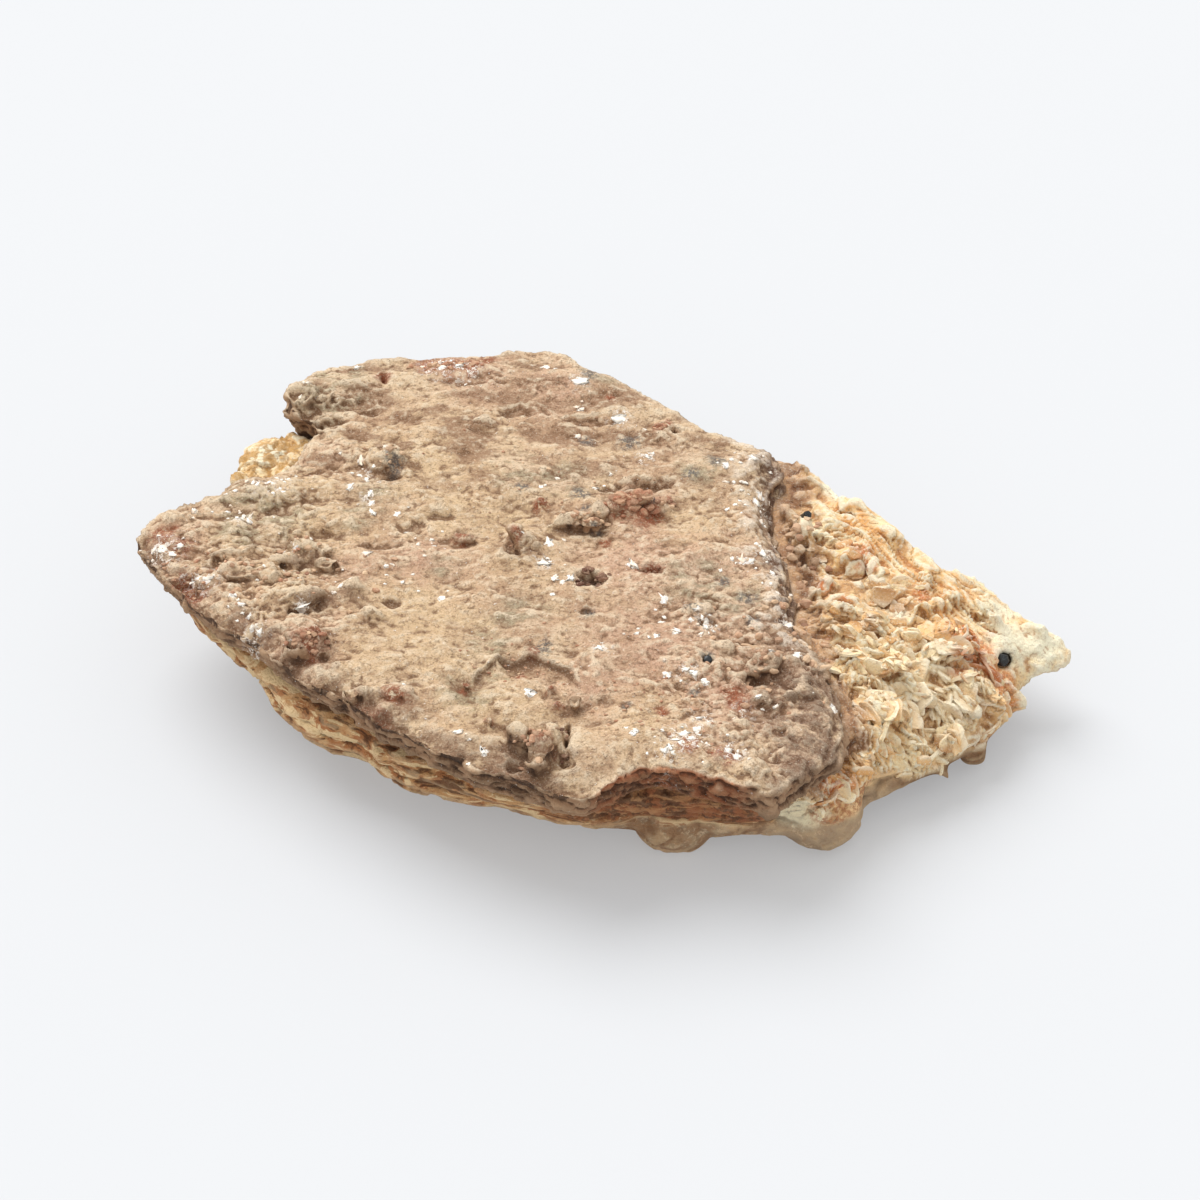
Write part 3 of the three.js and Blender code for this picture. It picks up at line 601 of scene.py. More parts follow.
        (-52.6, 17.5, 0.7, 1.4), (-59.4, 9.4, 0.5, 2), (-58.3, 9, 0.5, 1.8), (-67.5, 9.3, 0.9, 1.2),
        (-71.6, 0.2, 2, 1.4), (-70, -0.6, 1.8, 1.2), (-68.9, 0.4, 1.2, 1), (-73.3, 0.9, 1.4, 1.2),
        (-65.6, -6.4, 2, 0.9), (-63.6, -7.4, 2.2, 0.8), (-51.7, -7.6, 0.9, 0.8), (-47.8, -13.4, 2.4, 1.6),
        (-41.8, -9.8, 1, 1.1), (-40.3, -7.6, 1.4, 1.5), (-59, -11.6, 1.2, 1.4), (-56, -15.9, 0.6, 0.8),
        (-57.4, -13.7, 1.2, 1.2), (-43.1, 48.8, 1.3, 0.8), (-50.7, 41.4, 1.2, 1), (-55.2, -18.8, 1, 1),
        (-54, -19.6, 1, 0.9), (-34.9, -3.9, 0.7, 0.7), (-52.2, 38.5, 0.9, 1), (21.2, 20.3, 1.5, 1.5),
        (22.5, 16.4, 0.6, 0.7), (24.3, 16.7, 1.2, 0.8), (23.1, -2.2, 1.6, 1.9), (21.5, -2.2, 0.8, 0.8),
        (24.5, -2.5, 0.9, 1), (26.5, -0.4, 1.2, 1.4), (25.6, 2, 0.8, 1), (26.9, 14.6, 0.7, 1.7),
        (26, 12.8, 0.9, 1.8), (26.8, 9, 1, 1.8), (16.8, -16.8, 0.9, 1.6), (16.7, -18.6, 1, 1.6),
        (15.8, -20.1, 1, 1.4), (15.6, -15.4, 1.6, 0.6), (7.6, -21.2, 0.6, 0.8), (8.8, -20.8, 0.9, 0.8),
        (10.2, -12.1, 0.8, 2.1), (30.2, -15.3, 1.4, 2), (26.4, -24.6, 1.4, 1.1), (25.7, 21.9, 2, 0.6),
        (-10.9, -33.3, 2, 1.4), (-17.7, -45.2, 1.2, 1.4), (-21.9, -41.8, 1.4, 0.9), (4.8, -42.4, 1.6, 1.2),
        (10.3, -28.9, 1.4, 1.7), (-0.2, -24, 1.4, 1.1), (-30.4, -32.8, 0.7, 0.8), (13.2, -28.2, 1.2, 1.1),
        (14.6, -29, 1.5, 1.2), (16.2, -31, 1.2, 1.2), (15, -38, 1.3, 0.9), (16.6, -39, 1.2, 0.9),
        (12.6, -42.2, 1.8, 1.4), (13.8, -43.2, 1.5, 1.4), (11.4, -43.6, 1.4, 1.3), (10.4, -45.2, 1.3, 1.3),
        (14.8, -41, 1.4, 1.1), (12, -44.6, 1.2, 1.1), (19.4, -44.6, 1.4, 1), (20.6, -45.4, 1, 1.4),
        (24.3, -33.8, 1, 1.2), (31, -24.1, 1.8, 1.8), (36.3, -32.5, 1.2, 1.4), (-28, 48.2, 1.8, 1),
        (-25, 48.6, 2, 0.9), (-31.4, 49, 1.2, 1), (28, -5, 0.7, 1.4), (28.6, -9.6, 0.7, 1.5),
        (9.6, -45.8, 1, 0.9),
    ],
}


def arcRing(points):
    # distance from the middle of the curved ledge
    return np.hypot(points[:, 0] + 11.8, points[:, 1] + 34.4) + 0.8 * wander(points, (3, 3, 3), 18)


def crustRelief(points, normals):
    # how far each point of the crust moves out, in millimetres
    up = step(normals[:, 2], 0.35, 0.8) * step(points[:, 2], 19, 21)
    under = step(normals[:, 2], -0.35, -0.8)
    x, y = points[:, 0], points[:, 1]
    left = step(x, -34, -50)
    right = np.maximum(step(x, 20, 28), step(x, 6, 18) * step(y, -6, -16))
    # swells, and low terraces with steep sides
    swell = crust["swell"] * wander(points, (10, 5.6, 9), 1)
    swell += 0.42 * (step(wander(points, (8, 4.8, 8), 2), -0.3, 0.3) - 0.5)
    swell += 0.34 * (step(wander(points, (4.2, 2.6, 5), 3), -0.12, 0.16) - 0.5) * left
    # broken chips, which are strong at both ends and round the nodules
    patchy = step(wander(points, (7, 5, 7), 7), -0.1, 0.5)
    lumps = [(at[0], at[1], 1.4 * at[3]) for at in crust["nodules"]] + crust["cut"]
    lumpy = spots(points, lumps, 0.9, 23)
    rough = 0.02 + 0.45 * left + 0.5 * right + 0.3 * patchy + 0.12 * step(x, -6, 8) + 0.5 * lumpy
    rough = np.clip(rough, 0, 1)
    rocky = crust["rubble"] * rubble(points, (3.6, 2.6, 3.4), 3, 0.58, 4) * (0.4 + 0.7 * rough)
    chips = shards(points + 0.8 * rocky[:, None], (3.2, 2.3, 2.8), 19)
    rocky += crust["chip"] * chips * rough * (1 + 0.6 * right + 1.1 * lumpy)
    tears = [wander(points, (2.2, 2, 2.2), seed) for seed in (26, 27, 28)]
    torn = points + np.stack(tears, axis=1) * (1.5, 1, 1)
    rocky += crust["bump"] * domes(torn, (4.6, 3, 4.2), 0.45, 15) * (0.5 + 0.5 * patchy)
    rocky -= crust["bump"] * domes(torn, (5.4, 2.8, 4.2), 0.3, 16) * (0.6 + 0.4 * patchy)
    knobs = crust["knob"] * domes(torn, (3.1, 2.3, 2.6), 0.5, 5) * rough * (1 - 0.4 * right)
    knobs += 0.55 * crust["knob"] * domes(torn, (1.7, 1.4, 1.5), 0.6, 6) * rough
    pocks = crust["pock"] * domes(torn, (2.2, 1.5, 1.9), 0.3, 11) * (0.4 + 0.6 * rough)
    grit = crust["grit"] * wander(points, (0.95, 0.85, 0.9), 8)
    # the floor inside the curved ledge is lower
    ring = arcRing(points)
    ledge = step(ring, 9.5, 8.9) * step(ring, 2, 7) * step(y, -33, -28)
    top = swell + rocky + knobs - pocks + grit - crust["ledge"] * ledge
    # the side is layered, and broken into faces in front
    layers = crust["sideLayers"] * rubble(points, (5, 5, 1.5), 3, 0.6, 9)
    front = step(y, -44, -48) * step(x, -6, 2)
    broken = layers + 0.5 * domes(points, (2.6, 2.2, 1.5), 0.5, 13) * (1 - front) * (1 - right)
    broken += 1.2 * grit
    bent = points + (1.4 * wander(points, (4, 4, 3), 17))[:, None]
    broken += 0.35 * shards(bent, (4.4, 4.2, 2.6), 14) + crust["lap"] * step(x, 22, 26)
    crumbs = 0.4 * shards(bent, (2.2, 2, 1.4), 24) + 0.3 * rubble(points, (1.8, 1.8, 1), 2, 0.6, 25)
    broken += front * crumbs
    relief = up * top + (1 - up) * (1 - under) * broken
    return np.minimum(relief, 2 - 1.5 * lumpy)


def makeCrust():
    rng = random.Random(3)
    piece = newPiece("crust", nodeCopy("brown_crust"), "brown_crust", "brown_crust")
    bm, nodules, _ = balls(len(crust["nodules"]), 3)
    for ball, (x, y, z, halfX, halfY, halfZ) in zip(nodules, crust["nodules"]):
        turn = (0, 0, rng.uniform(-0.4, 0.4))
        shapeLump(ball, (x, y, z), (halfX, halfY, halfZ), turn, 0.75)
    addTo(piece, bm)
    remeshed(piece, crust["voxel"], 4)
    mesh = piece.data
    points = pointsOf(mesh)
    normals = normalsOf(mesh)
    broad = broadNormals(mesh, 4)
    moved = points + broad * crustRelief(points, broad)[:, None]
    for x, y, halfX, halfY, depth in crust["pits"]:
        away = np.hypot((points[:, 0] - x) / halfX, (points[:, 1] - y) / halfY)
        away += 0.45 * wander(points, (2.2, 1.8, 2.2), 12) + 0.3 * wander(points, (1, 0.9, 1), 35)
        deep = depth * step(away, 1.25, 0.35) * step(points[:, 2], 20.5, 22)
        moved[:, 2] -= deep * step(normals[:, 2], 0, 0.5)
    wide = evened(mesh, normals, 90)
    bevel = step(wide[:, 2], 0.97, 0.6) * step(wide[:, 1], 0, -0.2) * step(normals[:, 2], 0.2, 0.7)
    moved[:, 2] -= crust["bevel"] * bevel * step(points[:, 0], 4, -6)
    movePoints(mesh, keepInBox(moved))
    thinned(piece, crust["triangles"])
    shadeSmooth(piece)
    markCrust(piece.data)
    piece.data.materials.clear()
    piece.data.materials.append(crustStone())
    return piece


def markCrust(mesh):
    points = pointsOf(mesh)
    normals = evened(mesh, normalsOf(mesh), 6)
    x, y, z = points.T
    # hollow, dip and crisp measure hollows and crests at three sizes; the crust's colour uses them for
    # painted shade in hollows and painted highlights on crests
    setMask(mesh, "hollow", hollowness(mesh, 8, 0.2))
    setMask(mesh, "dip", hollowness(mesh, 60, 0.6))
    setMask(mesh, "crisp", hollowness(mesh, 3, 0.09))
    # arc: where a painted shadow line runs along the edge of the curved ledge
    setMask(mesh, "arc", step(np.abs(arcRing(points) - 9), 0.9, 0.3) * step(y, -32, -28) * normals[:, 2])
    # ridge: where a painted highlight runs along the crest of the right rim
    setMask(mesh, "ridgeHighlight", step(x, 20, 25) * step(y, -26, -20) * step(normals[:, 2], 0.5, 0.8))
    for name in ("rust", "slate", "olive", "dust"):
        setMask(mesh, name, spots(points, crust[name], 0.6, 20 + len(name)))
    marks = [(markX, markY, 0.2 * (wideX + wideY) + 0.1) for markX, markY, wideX, wideY in crust["chalk"]]
    setMask(mesh, "chalk", spots(points, marks, 0.8, 37))
    setMask(mesh, "rose", spots(points, crust["rose"], 0.9, 31))
    setMask(mesh, "gold", spots(points, crust["gold"], 0.9, 33))
    setMask(mesh, "side", step(normals[:, 2], 0.62, 0.25))
    wide = evened(mesh, normals, 70)
    rim = step(wide[:, 2] + 0.05 * wander(points, (3, 3, 3), 34), 0.96, 0.8) * step(wide[:, 1], 0, -0.2)
    setMask(mesh, "rim", rim * step(y, 6, 0) * step(x, 4, -6))
    setMask(mesh, "shade", 0.2 + 0.8 * step(y, 4, 30))
    setMask(mesh, "redFace", step(np.hypot((x - 10) / 13, (y + 51) / 7), 1.15, 0.7))
    setMask(mesh, "lit", step(z, 18, 24))
    edge = step(x, 24, 29) * step(y, -34, -8)
    setMask(mesh, "plum", np.maximum(edge, 0.7 * step(x, 20, 30) * step(y, -20, -30)))


def crustStone():
    stone = Surface("crust_stone")
    grain, between, mask = stone.grain, stone.between, stone.mask
    wide = grain(15, 3, 0.5, stone.place((0.8, 1.2, 1)))
    broad = grain(10, 4, 0.6)
    mid = grain(3, 5, 0.65, stone.place((0.7, 1.2, 1)))
    fine = grain(0.9, 4, 0.75)
    sand = grain(0.34, 3, 0.7)
    ragged = grain(0.8, 5, 0.8)
    seeds = stone.cells(0.8)
    # dip, crisp, low and high carry painted shade in hollows and painted highlights on crests, at three
    # sizes
    dip, crisp = mask("dip"), mask("crisp")
    low = between(mask("hollow"), 0.54, 0.95)
    high = between(mask("hollow"), 0.46, 0.08)
    # brown: darker patches stretched along x, partly brown stain and partly painted shadow of shallow
    # hollows, made stronger towards the back by the shade mask
    brown = between(grain(6, 3, 0.5, stone.place((0.7, 1.3, 1))), 0.5, 0.6)

    top = stone.painted(
        (228, 197, 160),
        ((208, 171, 138), between(broad, 0.42, 0.58)),
        ((186, 150, 122), 0.4 * between(wide, 0.5, 0.58)),
        ((240, 212, 176), 0.35 * between(wide, 0.48, 0.4)),
        ((216, 174, 147), 0.8 * mask("rose")),
        ((234, 203, 160), 0.6 * mask("gold")),
        ((176, 142, 110), 0.6 * between(mid, 0.53, 0.64)),
        ((238, 212, 180), 0.6 * between(mid, 0.48, 0.38)),
        # brown patches, partly painted shadow, stronger towards the back
        ((164, 128, 100), 0.85 * brown * mask("shade")),
        ((165, 160, 134), 0.62 * mask("olive") * between(mid, 0.4, 0.56)),
        # painted shade in broad hollows, then a painted highlight on broad crests
        ((152, 118, 90), 0.6 * between(dip, 0.54, 0.95)),
        ((238, 212, 178), 0.3 * between(dip, 0.46, 0.1)),
        # painted shade in hollows, then a painted highlight on crests
        ((136, 100, 72), 0.68 * low),
        ((244, 224, 194), 0.5 * high),
        # a painted shadow line along the curved ledge
        ((112, 82, 60), 0.6 * mask("arc") * between(mid, 0.4, 0.5)),
        # painted shade in small hollows, then a painted highlight on small crests
        ((122, 90, 66), 0.4 * between(crisp, 0.6, 0.95)),
        ((250, 232, 206), 0.25 * between(crisp, 0.4, 0.06)),
        ((110, 80, 66), 0.95 * mask("plum") * between(broad + mid, 0.86, 1.06)),
        ((226, 192, 162), 0.6 * mask("plum") * between(mid, 0.47, 0.4)),
        ((160, 88, 58), 0.9 * mask("rust") * between(fine, 0.38, 0.5)),
        ((92, 100, 104), 0.8 * mask("slate") * between(fine, 0.42, 0.54)),
    )
    shaded = stone.blend((150, 84, 50), (96, 58, 38), between(mid, 0.46, 0.56))
    redFace = stone.painted(
        (226, 140, 98),
        (shaded, between(mask("lit"), 0.96, 0.62)),
        # painted shade in hollows, then a painted highlight on crests
        ((66, 42, 30), 0.7 * low),
        ((188, 132, 88), 0.4 * high),
    )
    side = stone.painted(
        (174, 134, 102),
        ((114, 84, 62), between(broad + mid, 0.9, 1.08)),
        ((178, 144, 110), 0.4 * between(fine, 0.53, 0.62)),
        # painted shade in hollows, then a painted highlight on crests
        ((60, 42, 34), 0.75 * low),
        ((198, 164, 130), 0.45 * high),
        (redFace, 0.9 * mask("redFace")),
    )
    bare = 1 - 0.8 * mask("side")
    colour = stone.painted(
        top,
        ((146, 114, 92), 0.6 * mask("rim") * between(broad + mid, 0.88, 1.06)),
        (side, 0.94 * mask("side")),
        ((124, 92, 68), 0.5 * bare * between(fine, 0.53, 0.62)),
        ((246, 228, 202), 0.26 * bare * between(sand, 0.54, 0.62)),
        ((126, 95, 70), 0.3 * bare * between(sand, 0.46, 0.38)),
        ((84, 62, 50), 0.6 * between(seeds, 0.2, 0.1) * between(mid, 0.5, 0.56)),
    )
    colour = stone.blend(colour, (242, 242, 242), 1, "MULTIPLY")  # a shade darker all over
    dusty = between(fine, 0.5, 0.54) * between(ragged, 0.475, 0.505)
    colour = stone.painted(
        colour,
        # a painted highlight along the crest of the right rim
        ((246, 232, 216), 0.5 * mask("ridgeHighlight") * between(dip, 0.42, 0.2) * between(ragged, 0.42, 0.5)),
        ((255, 251, 246), 0.96 * between(mask("chalk") + 3 * ragged, 1.96, 2.04)),
        ((250, 240, 228), 0.9 * mask("dust") * dusty),
    )
    normal = stone.bump(0.8 * fine + 0.35 * sand + 0.6 * mid, 1.1, 0.9)
    return stone.finish(colour, 0.84 + 0.12 * between(fine, 0.2, 0.8), normal, 0.25)


crustPiece = makeCrust()
crustTree = treeOf(crustPiece)
print("crust made:", len(crustPiece.data.polygons), "faces")


# the pale, bladed rock

matrix = {
    "voxel": 0.42,
    "triangles": 190000,
    # how deep or high each kind of relief is, in millimetres
    "plate": 0.55,
    "fold": 0.6,
    "lump": 0.5,
    "bed": 0.6,
    "belly": 0.26,
    # length and thickness in millimetres, width as a share of the length
    "blades": {"seed": 6, "count": 130, "long": (3.6, 7.4), "wide": (0.42, 0.7), "thick": (1.0, 1.7)},
    # place, length, width and thickness of the slabs along the back edge
    "slabs": [
        (37, 21.4, 11, 3.4, 2.2), (46.6, 12, 13, 3.6, 2.6), (39.6, 10.6, 9, 3, 2), (46.9, 6.2, 9, 2.6, 2),
        (55.2, 1.8, 10, 3, 2.2), (50, 1.4, 8, 2.6, 1.8), (59.4, -3.9, 9, 2.8, 2),
        (42.6, 15.4, 10, 2.6, 1.6), (35.4, 16.6, 8, 2.6, 1.8), (51.6, 6.6, 9, 2.6, 1.8),
        (43.4, 10.2, 8, 2.4, 1.8), (63.4, -3.2, 7, 2.8, 2),
    ],
    # place, half sizes of the rounded lumps of the tip
    "tip": [
        (73.2, -11.6, 11.6, 3.4, 2.6, 2.2), (70.2, -10.6, 12.8, 3, 2.8, 2.2),
        (67.6, -8.6, 14, 2.8, 2.4, 1.8), (71.6, -13.2, 10.8, 3, 1.8, 1.8), (65.4, -9.6, 14.4, 2.4, 2, 1.8),
    ],
    "ochre": [
        (34.2, 23.5, 2), (36, 20.3, 2), (38.3, 18.2, 2.4), (42.3, 11.5, 4), (45, 6.9, 4), (46.5, 4.4, 3),
        (55.6, -7.7, 4), (57.6, -12.5, 4), (58.2, -15, 5), (62.4, -15.2, 5), (64.9, -17.9, 4),
        (51.9, -2, 5), (49.1, -15.9, 3), (37.6, -3.5, 3), (40.7, -6.7, 2), (32.4, -9.6, 3), (59.2, -3.3, 4),
        (66.9, -10.3, 2), (47.3, 14.7, 2), (33.4, 25.6, 2), (36.5, -42, 3.4), (41, -40, 3), (45, -38, 2.6),
    ],
    "rust": [
        (43.7, 4.4, 2.4), (43.9, 0.6, 2), (58, -12.5, 3), (60.2, -15, 4), (62.2, -16.9, 4),
        (64.9, -17.9, 3), (36.4, -4.3, 2), (39.3, -7.2, 1.6), (52.5, -4.4, 2), (33.2, 20.8, 1.6),
        (57.8, -19.8, 2), (36.3, -42, 3.4), (34, -43.6, 2.6),
    ],
    "green": [
        (54.4, -22.1, 6), (56.8, -23.4, 6), (52.9, -19.6, 5), (55.1, -25.9, 6), (50.8, -25.4, 6),
        (74.4, -11.9, 3), (44.2, -27.5, 4),
    ],
    "brown": [
        (32.1, 17, 2.5), (33.5, 12.3, 4), (35, 2.7, 4), (31.3, 1.5, 3), (32.6, -4.8, 4), (37.2, -10.9, 5),
        (33.7, -14.4, 4), (40.2, -15.2, 4), (37.5, -34.4, 4), (39.9, -33.3, 3), (43.5, -14.6, 3),
        (50.9, 6.8, 2), (61.1, -26.3, 4), (42, -2, 5), (47.4, -5.6, 4.6), (38.2, -2, 5), (44, -9.4, 4),
        (40.6, 3.4, 4),
    ],
    "white": [
        (65.9, -11.4, 4), (68.2, -11.6, 3), (65.7, -5.4, 3), (22.5, 33.2, 3), (32.6, 26.9, 2),
        (30.1, 28.5, 2), (48.9, -8.8, 2), (71.8, -11.6, 4), (40, 20.7, 3), (-57, 30, 3),
    ],
}


def pastBackLine(x, y):
    # how far behind the line along the pale rock's back edge a place is, in millimetres
    return y - 0.9 * (44 - x)


def fromCrust(points):
    # how far each point is from the crust, in millimetres
    return np.array([crustTree.find_nearest(Vector(point) * mm)[3] / mm for point in points.tolist()])


def flakeWay(x, y):
    # the way the blades run at a place, as an angle seen from above
    back = step(pastBackLine(x, y), 4, 12)
    front = step(y, -14, -24)
    return math.radians(-12) + back * math.radians(-30) + front * math.radians(-34)


def shapeFlake(ball, rng, place, normal, long, wide, thick, way, layers=None):
    # a flat flake with broken sides that leans out of the rock
    lean = math.radians(rng.uniform(8, 34) + (26 if place.y < -14 else 0)) * rng.choice((-1, 1, 1))
    along = Vector((math.cos(way), math.sin(way), 0))
    along = (along - normal * along.dot(normal)).normalized()
    across = normal.cross(along)
    stand = (normal * math.sin(lean) + across * math.cos(lean)).normalized()
    turn = Matrix((along, stand, along.cross(stand))).transposed()
    sides = [rng.uniform(0, 2 * math.pi) for _ in range(6)]
    cuts = [(math.cos(side), math.sin(side), rng.uniform(0.5, 0.95)) for side in sides]
    bend = 0.1 * rng.uniform(-1, 1) * long
    curl = 0.2 * rng.uniform(-0.6, 1) * wide
    tint, warm = rng.random(), rng.random()
    for vert in ball:
        x, y, z = vert.co
        facing = [(x * cutX + y * cutY, depth) for cutX, cutY, depth in cuts]
        ragged = min([1.15] + [depth / part for part, depth in facing if part > 0.1])
        x, y, z = x * ragged, y * ragged, max(-0.6, min(0.6, z))
        flat = Vector((x * long * 0.5, y * wide * 0.5, z * thick * 0.8))
        flat.z += bend * x * x + curl * y * y
        vert.co = (turn @ flat + place) * mm
        if layers:
            # rise: 0 at the edge of the flake nearest the rock, 1 at the edge farthest out, for painted
            # shade and painted highlight
            vert[layers["rise"]] = max(0, min(1, 0.5 + 0.5 * y * (1 if stand.dot(normal) > 0 else -1)))
            vert[layers["tint"]] = tint
            vert[layers["warm"]] = warm


def openRock(points, normals):
    # 1 on the open, flaky upper side, 0 on the smooth flanks below
    x, y, z = points.T
    strip = step(x, 31, 34) * step(x, 50, 46)
    far = step(x, 44, 50)
    lower = 3.6 * far - 0.6 * strip
    upper = step(z - 8.5 + lower, 0, 4 - strip - 1.6 * far)
    upper *= step(normals[:, 2], -0.25 - 0.5 * strip - 0.4 * far, 0.15 - 0.4 * strip - 0.4 * far)
    upper *= step(x, 24, 28)
    corner = step(x, -50, -53) * step(y, 22, 26) * step(z, 15, 17)
    back = step(y, 20, 24) * step(z, 15.5, 18) * step(normals[:, 2], -0.1, 0.3)
    return np.maximum(np.maximum(upper, corner), back)


def calmRock(points):
    # 1 on the smooth, lumpy tip and corner, and round the prisms
    x, y = points[:, 0], points[:, 1]
    calm = np.maximum(step(x, 63, 67), 0.6 * step(x, -46, -50))
    for prism in prisms.values():
        away = np.hypot(x - prism["at"][0], y - prism["at"][1])
        calm = np.maximum(calm, step(away, 4.4, 2.6))
    return calm


def matrixRelief(points, flaky, near):
    # how far each point of the pale rock moves out, in millimetres
    x, y, z = points.T
    turn = flakeWay(x, y) + 0.5 * wander(points, (11, 11, 20), 41)
    along = x * np.cos(turn) + y * np.sin(turn)
    across = y * np.cos(turn) - x * np.sin(turn)
    warp = 0.9 * wander(points, (4.4, 4.4, 4.4), 42)
    lined = np.stack([along + warp, across + warp, z], axis=1)
    calm = calmRock(points)
    # plates, folds and lumps of the open side, which are longer and flatter towards the back edge
    back = step(pastBackLine(x, y), 0, 8)
    plates = matrix["plate"] * shards(lined, (5.6, 3.5, 4.2), 43) * (1 - back)
    plates += matrix["plate"] * shards(lined, (11, 3, 3.8), 56) * back * 1.15
    plates += 0.35 * matrix["plate"] * shards(lined, (2.6, 1.7, 2.1), 44) * (1 - 0.6 * back)
    plates += 0.9 * wander(points, (9, 7, 9), 57)
    fold = 1 - np.abs(wander(lined, (6, 2, 4), 45)) * 2.4
    folds = matrix["fold"] * (np.clip(fold, -0.3, 1) - 0.3) * (0.5 - 0.3 * back)
    lumps = domes(points, (3.8, 3.2, 3), 0.6, 46) + 0.5 * domes(points, (1.9, 1.7, 1.7), 0.6, 47) - 0.4
    lumps *= matrix["lump"]
    fine = 0.16 * rubble(points, (1.5, 1.5, 1.5), 2, 0.6, 48)
    upper = (plates + folds) * (1 - 0.75 * calm)
    upper += lumps * (0.25 - 0.15 * back + 0.4 * calm + 0.6 * near)
    upper += 0.7 * fine
    upper += 0.5 * shards(points + 0.6 * lumps[:, None], (2.6, 2.2, 2.4), 59) * near
    # wavy beds and broken faces of the flanks
    leftEnd = step(x, -14, -30)
    front = step(y, -38, -44) * step(x, -12, 0) * step(z, 8.5, 10)
    swirl = z + 1.6 * wander(points, (7, 7, 5), 49) + 0.5 * wander(points, (2.4, 2.4, 2), 50)
    beds = np.stack([x / 6, y / 6, swirl], axis=1)
    layers = matrix["bed"] * rubble(beds, (2.4, 2.4, 1.5), 2, 0.6, 51) * step(z, 6, 9)
    layers *= 0.6 + 0.5 * leftEnd
    belly = matrix["belly"] * rubble(points, (6, 6, 4), 3, 0.5, 52) + 0.3 * shards(points, (5.6, 5.6, 4), 53)
    bent = points + (1.4 * wander(points, (4, 4, 3), 58))[:, None]
    broken = front * (0.3 * shards(bent, (4.4, 4.2, 2.6), 54) + 0.4 * shards(bent, (2.2, 2, 1.4), 24))
    pitted = -0.9 * domes(points, (3, 3, 1.9), 0.22, 55) * leftEnd * step(z, 7, 9)
    return flaky * upper + (1 - flaky) * (layers + belly + broken + pitted)


def rockBlades(piece):
    # thick blades that grow out of the rock, for welding
    blades = matrix["blades"]
    rng = random.Random(blades["seed"])
    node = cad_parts["pale_matrix"].data
    corners = pointsOf(node)
    faces = np.array([face.vertices[:] for face in node.polygons])
    middles = corners[faces].mean(axis=1)
    sizes = np.array([face.area for face in node.polygons])
    normals = np.array([face.normal[:] for face in node.polygons])
    likely = sizes * openRock(middles, normals) * step(fromCrust(middles), 1.2, 3) * (1 - calmRock(middles))
    likely *= 0.35 + step(middles[:, 1], -8, -16)
    picked = rng.choices(range(len(faces)), weights=likely.tolist(), k=blades["count"])
    bm, bodies, _ = balls(blades["count"] + len(matrix["tip"]) + len(matrix["slabs"]), 3)
    ground = treeOf(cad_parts["pale_matrix"])
    slabTurn = (0, 0.12, math.radians(-44))
    for x, y, long, wide, thick in matrix["slabs"]:
        spot = dropOn(ground, x, y)[0] / mm
        shapeLump(bodies.pop(), (x, y, spot.z + 0.2), (long / 2, wide / 2, thick / 2), slabTurn, 0.3)
    for x, y, z, halfX, halfY, halfZ in matrix["tip"]:
        shapeLump(bodies.pop(), (x, y, z), (halfX, halfY, halfZ), (0, 0, 0), 0.35)
    for ball, i in zip(bodies, picked):
        spread = [rng.random() + 0.05 for _ in range(3)]
        place = Vector(corners[faces[i]].T @ np.array(spread) / sum(spread)) - Vector(normals[i]) * 0.35
        way = float(flakeWay(place.x, place.y)) + rng.gauss(0, 0.35)
        long = rng.uniform(*blades["long"])
        wide = long * rng.uniform(*blades["wide"])
        shapeFlake(ball, rng, place, Vector(normals[i]), long, wide, rng.uniform(*blades["thick"]), way)
    addTo(piece, bm)


def makeMatrix():
    piece = newPiece("pale_rock", nodeCopy("pale_matrix"), "pale_matrix", "pale_matrix")
    rockBlades(piece)
    remeshed(piece, matrix["voxel"], 0)
    sharp = evened(piece.data, pointsOf(piece.data), 4)
    soft = evened(piece.data, sharp, 10)
    flaky = openRock(sharp, normalsOf(piece.data))[:, None]
    movePoints(piece.data, sharp * flaky + soft * (1 - flaky))
    mesh = piece.data
    points = pointsOf(mesh)
    normals = broadNormals(mesh, 3)
    covered = fromCrust(points)
    inside = (covered < 1.6) & (normals[:, 2] > 0.2)
    free = step(covered, 0.5, 2.2)
    relief = matrixRelief(points, openRock(points, normals), step(covered, 9, 4))
    moved = points + normals * (relief * free)[:, None]
    rests = step(points[:, 2], 0.9, 0.2)[:, None]
    moved = moved * (1 - rests) + points * rests
    moved[:, 2] = np.where(inside, np.minimum(moved[:, 2], points[:, 2] + 0.2), moved[:, 2])
    movePoints(mesh, keepInBox(moved))
    thinned(piece, matrix["triangles"])
    shadeSmooth(piece)
    markMatrix(piece.data)
    piece.data.materials.clear()
    piece.data.materials.append(paleStone())
    return piece


def seamOf(points):
    # 1 beside the crust on the open side, 0 well away from it
    free = np.full(len(points), 20.0)
    close = points[:, 0] > 22
    free[close] = fromCrust(points[close])
    free = free + 2.4 * wander(points, (4.4, 4.4, 4.4), 71) + wander(points, (1.5, 1.5, 1.5), 72)
    share = step(points[:, 1], -22, -12)
    seam = step(free, 3 + 3.6 * share, 1.2 + 1.2 * share)
    return seam * step(points[:, 0], 22, 25) * step(points[:, 2], 12, 15)


def markStains(mesh, points):
    for name in ("ochre", "rust", "green", "brown", "white"):
        setMask(mesh, name, spots(points, matrix[name], 0.7, 60 + len(name)))
    setMask(mesh, "seam", seamOf(points))
    setMask(mesh, "goldCorner", step(points[:, 0], -49, -52) * step(points[:, 1], 22, 26))


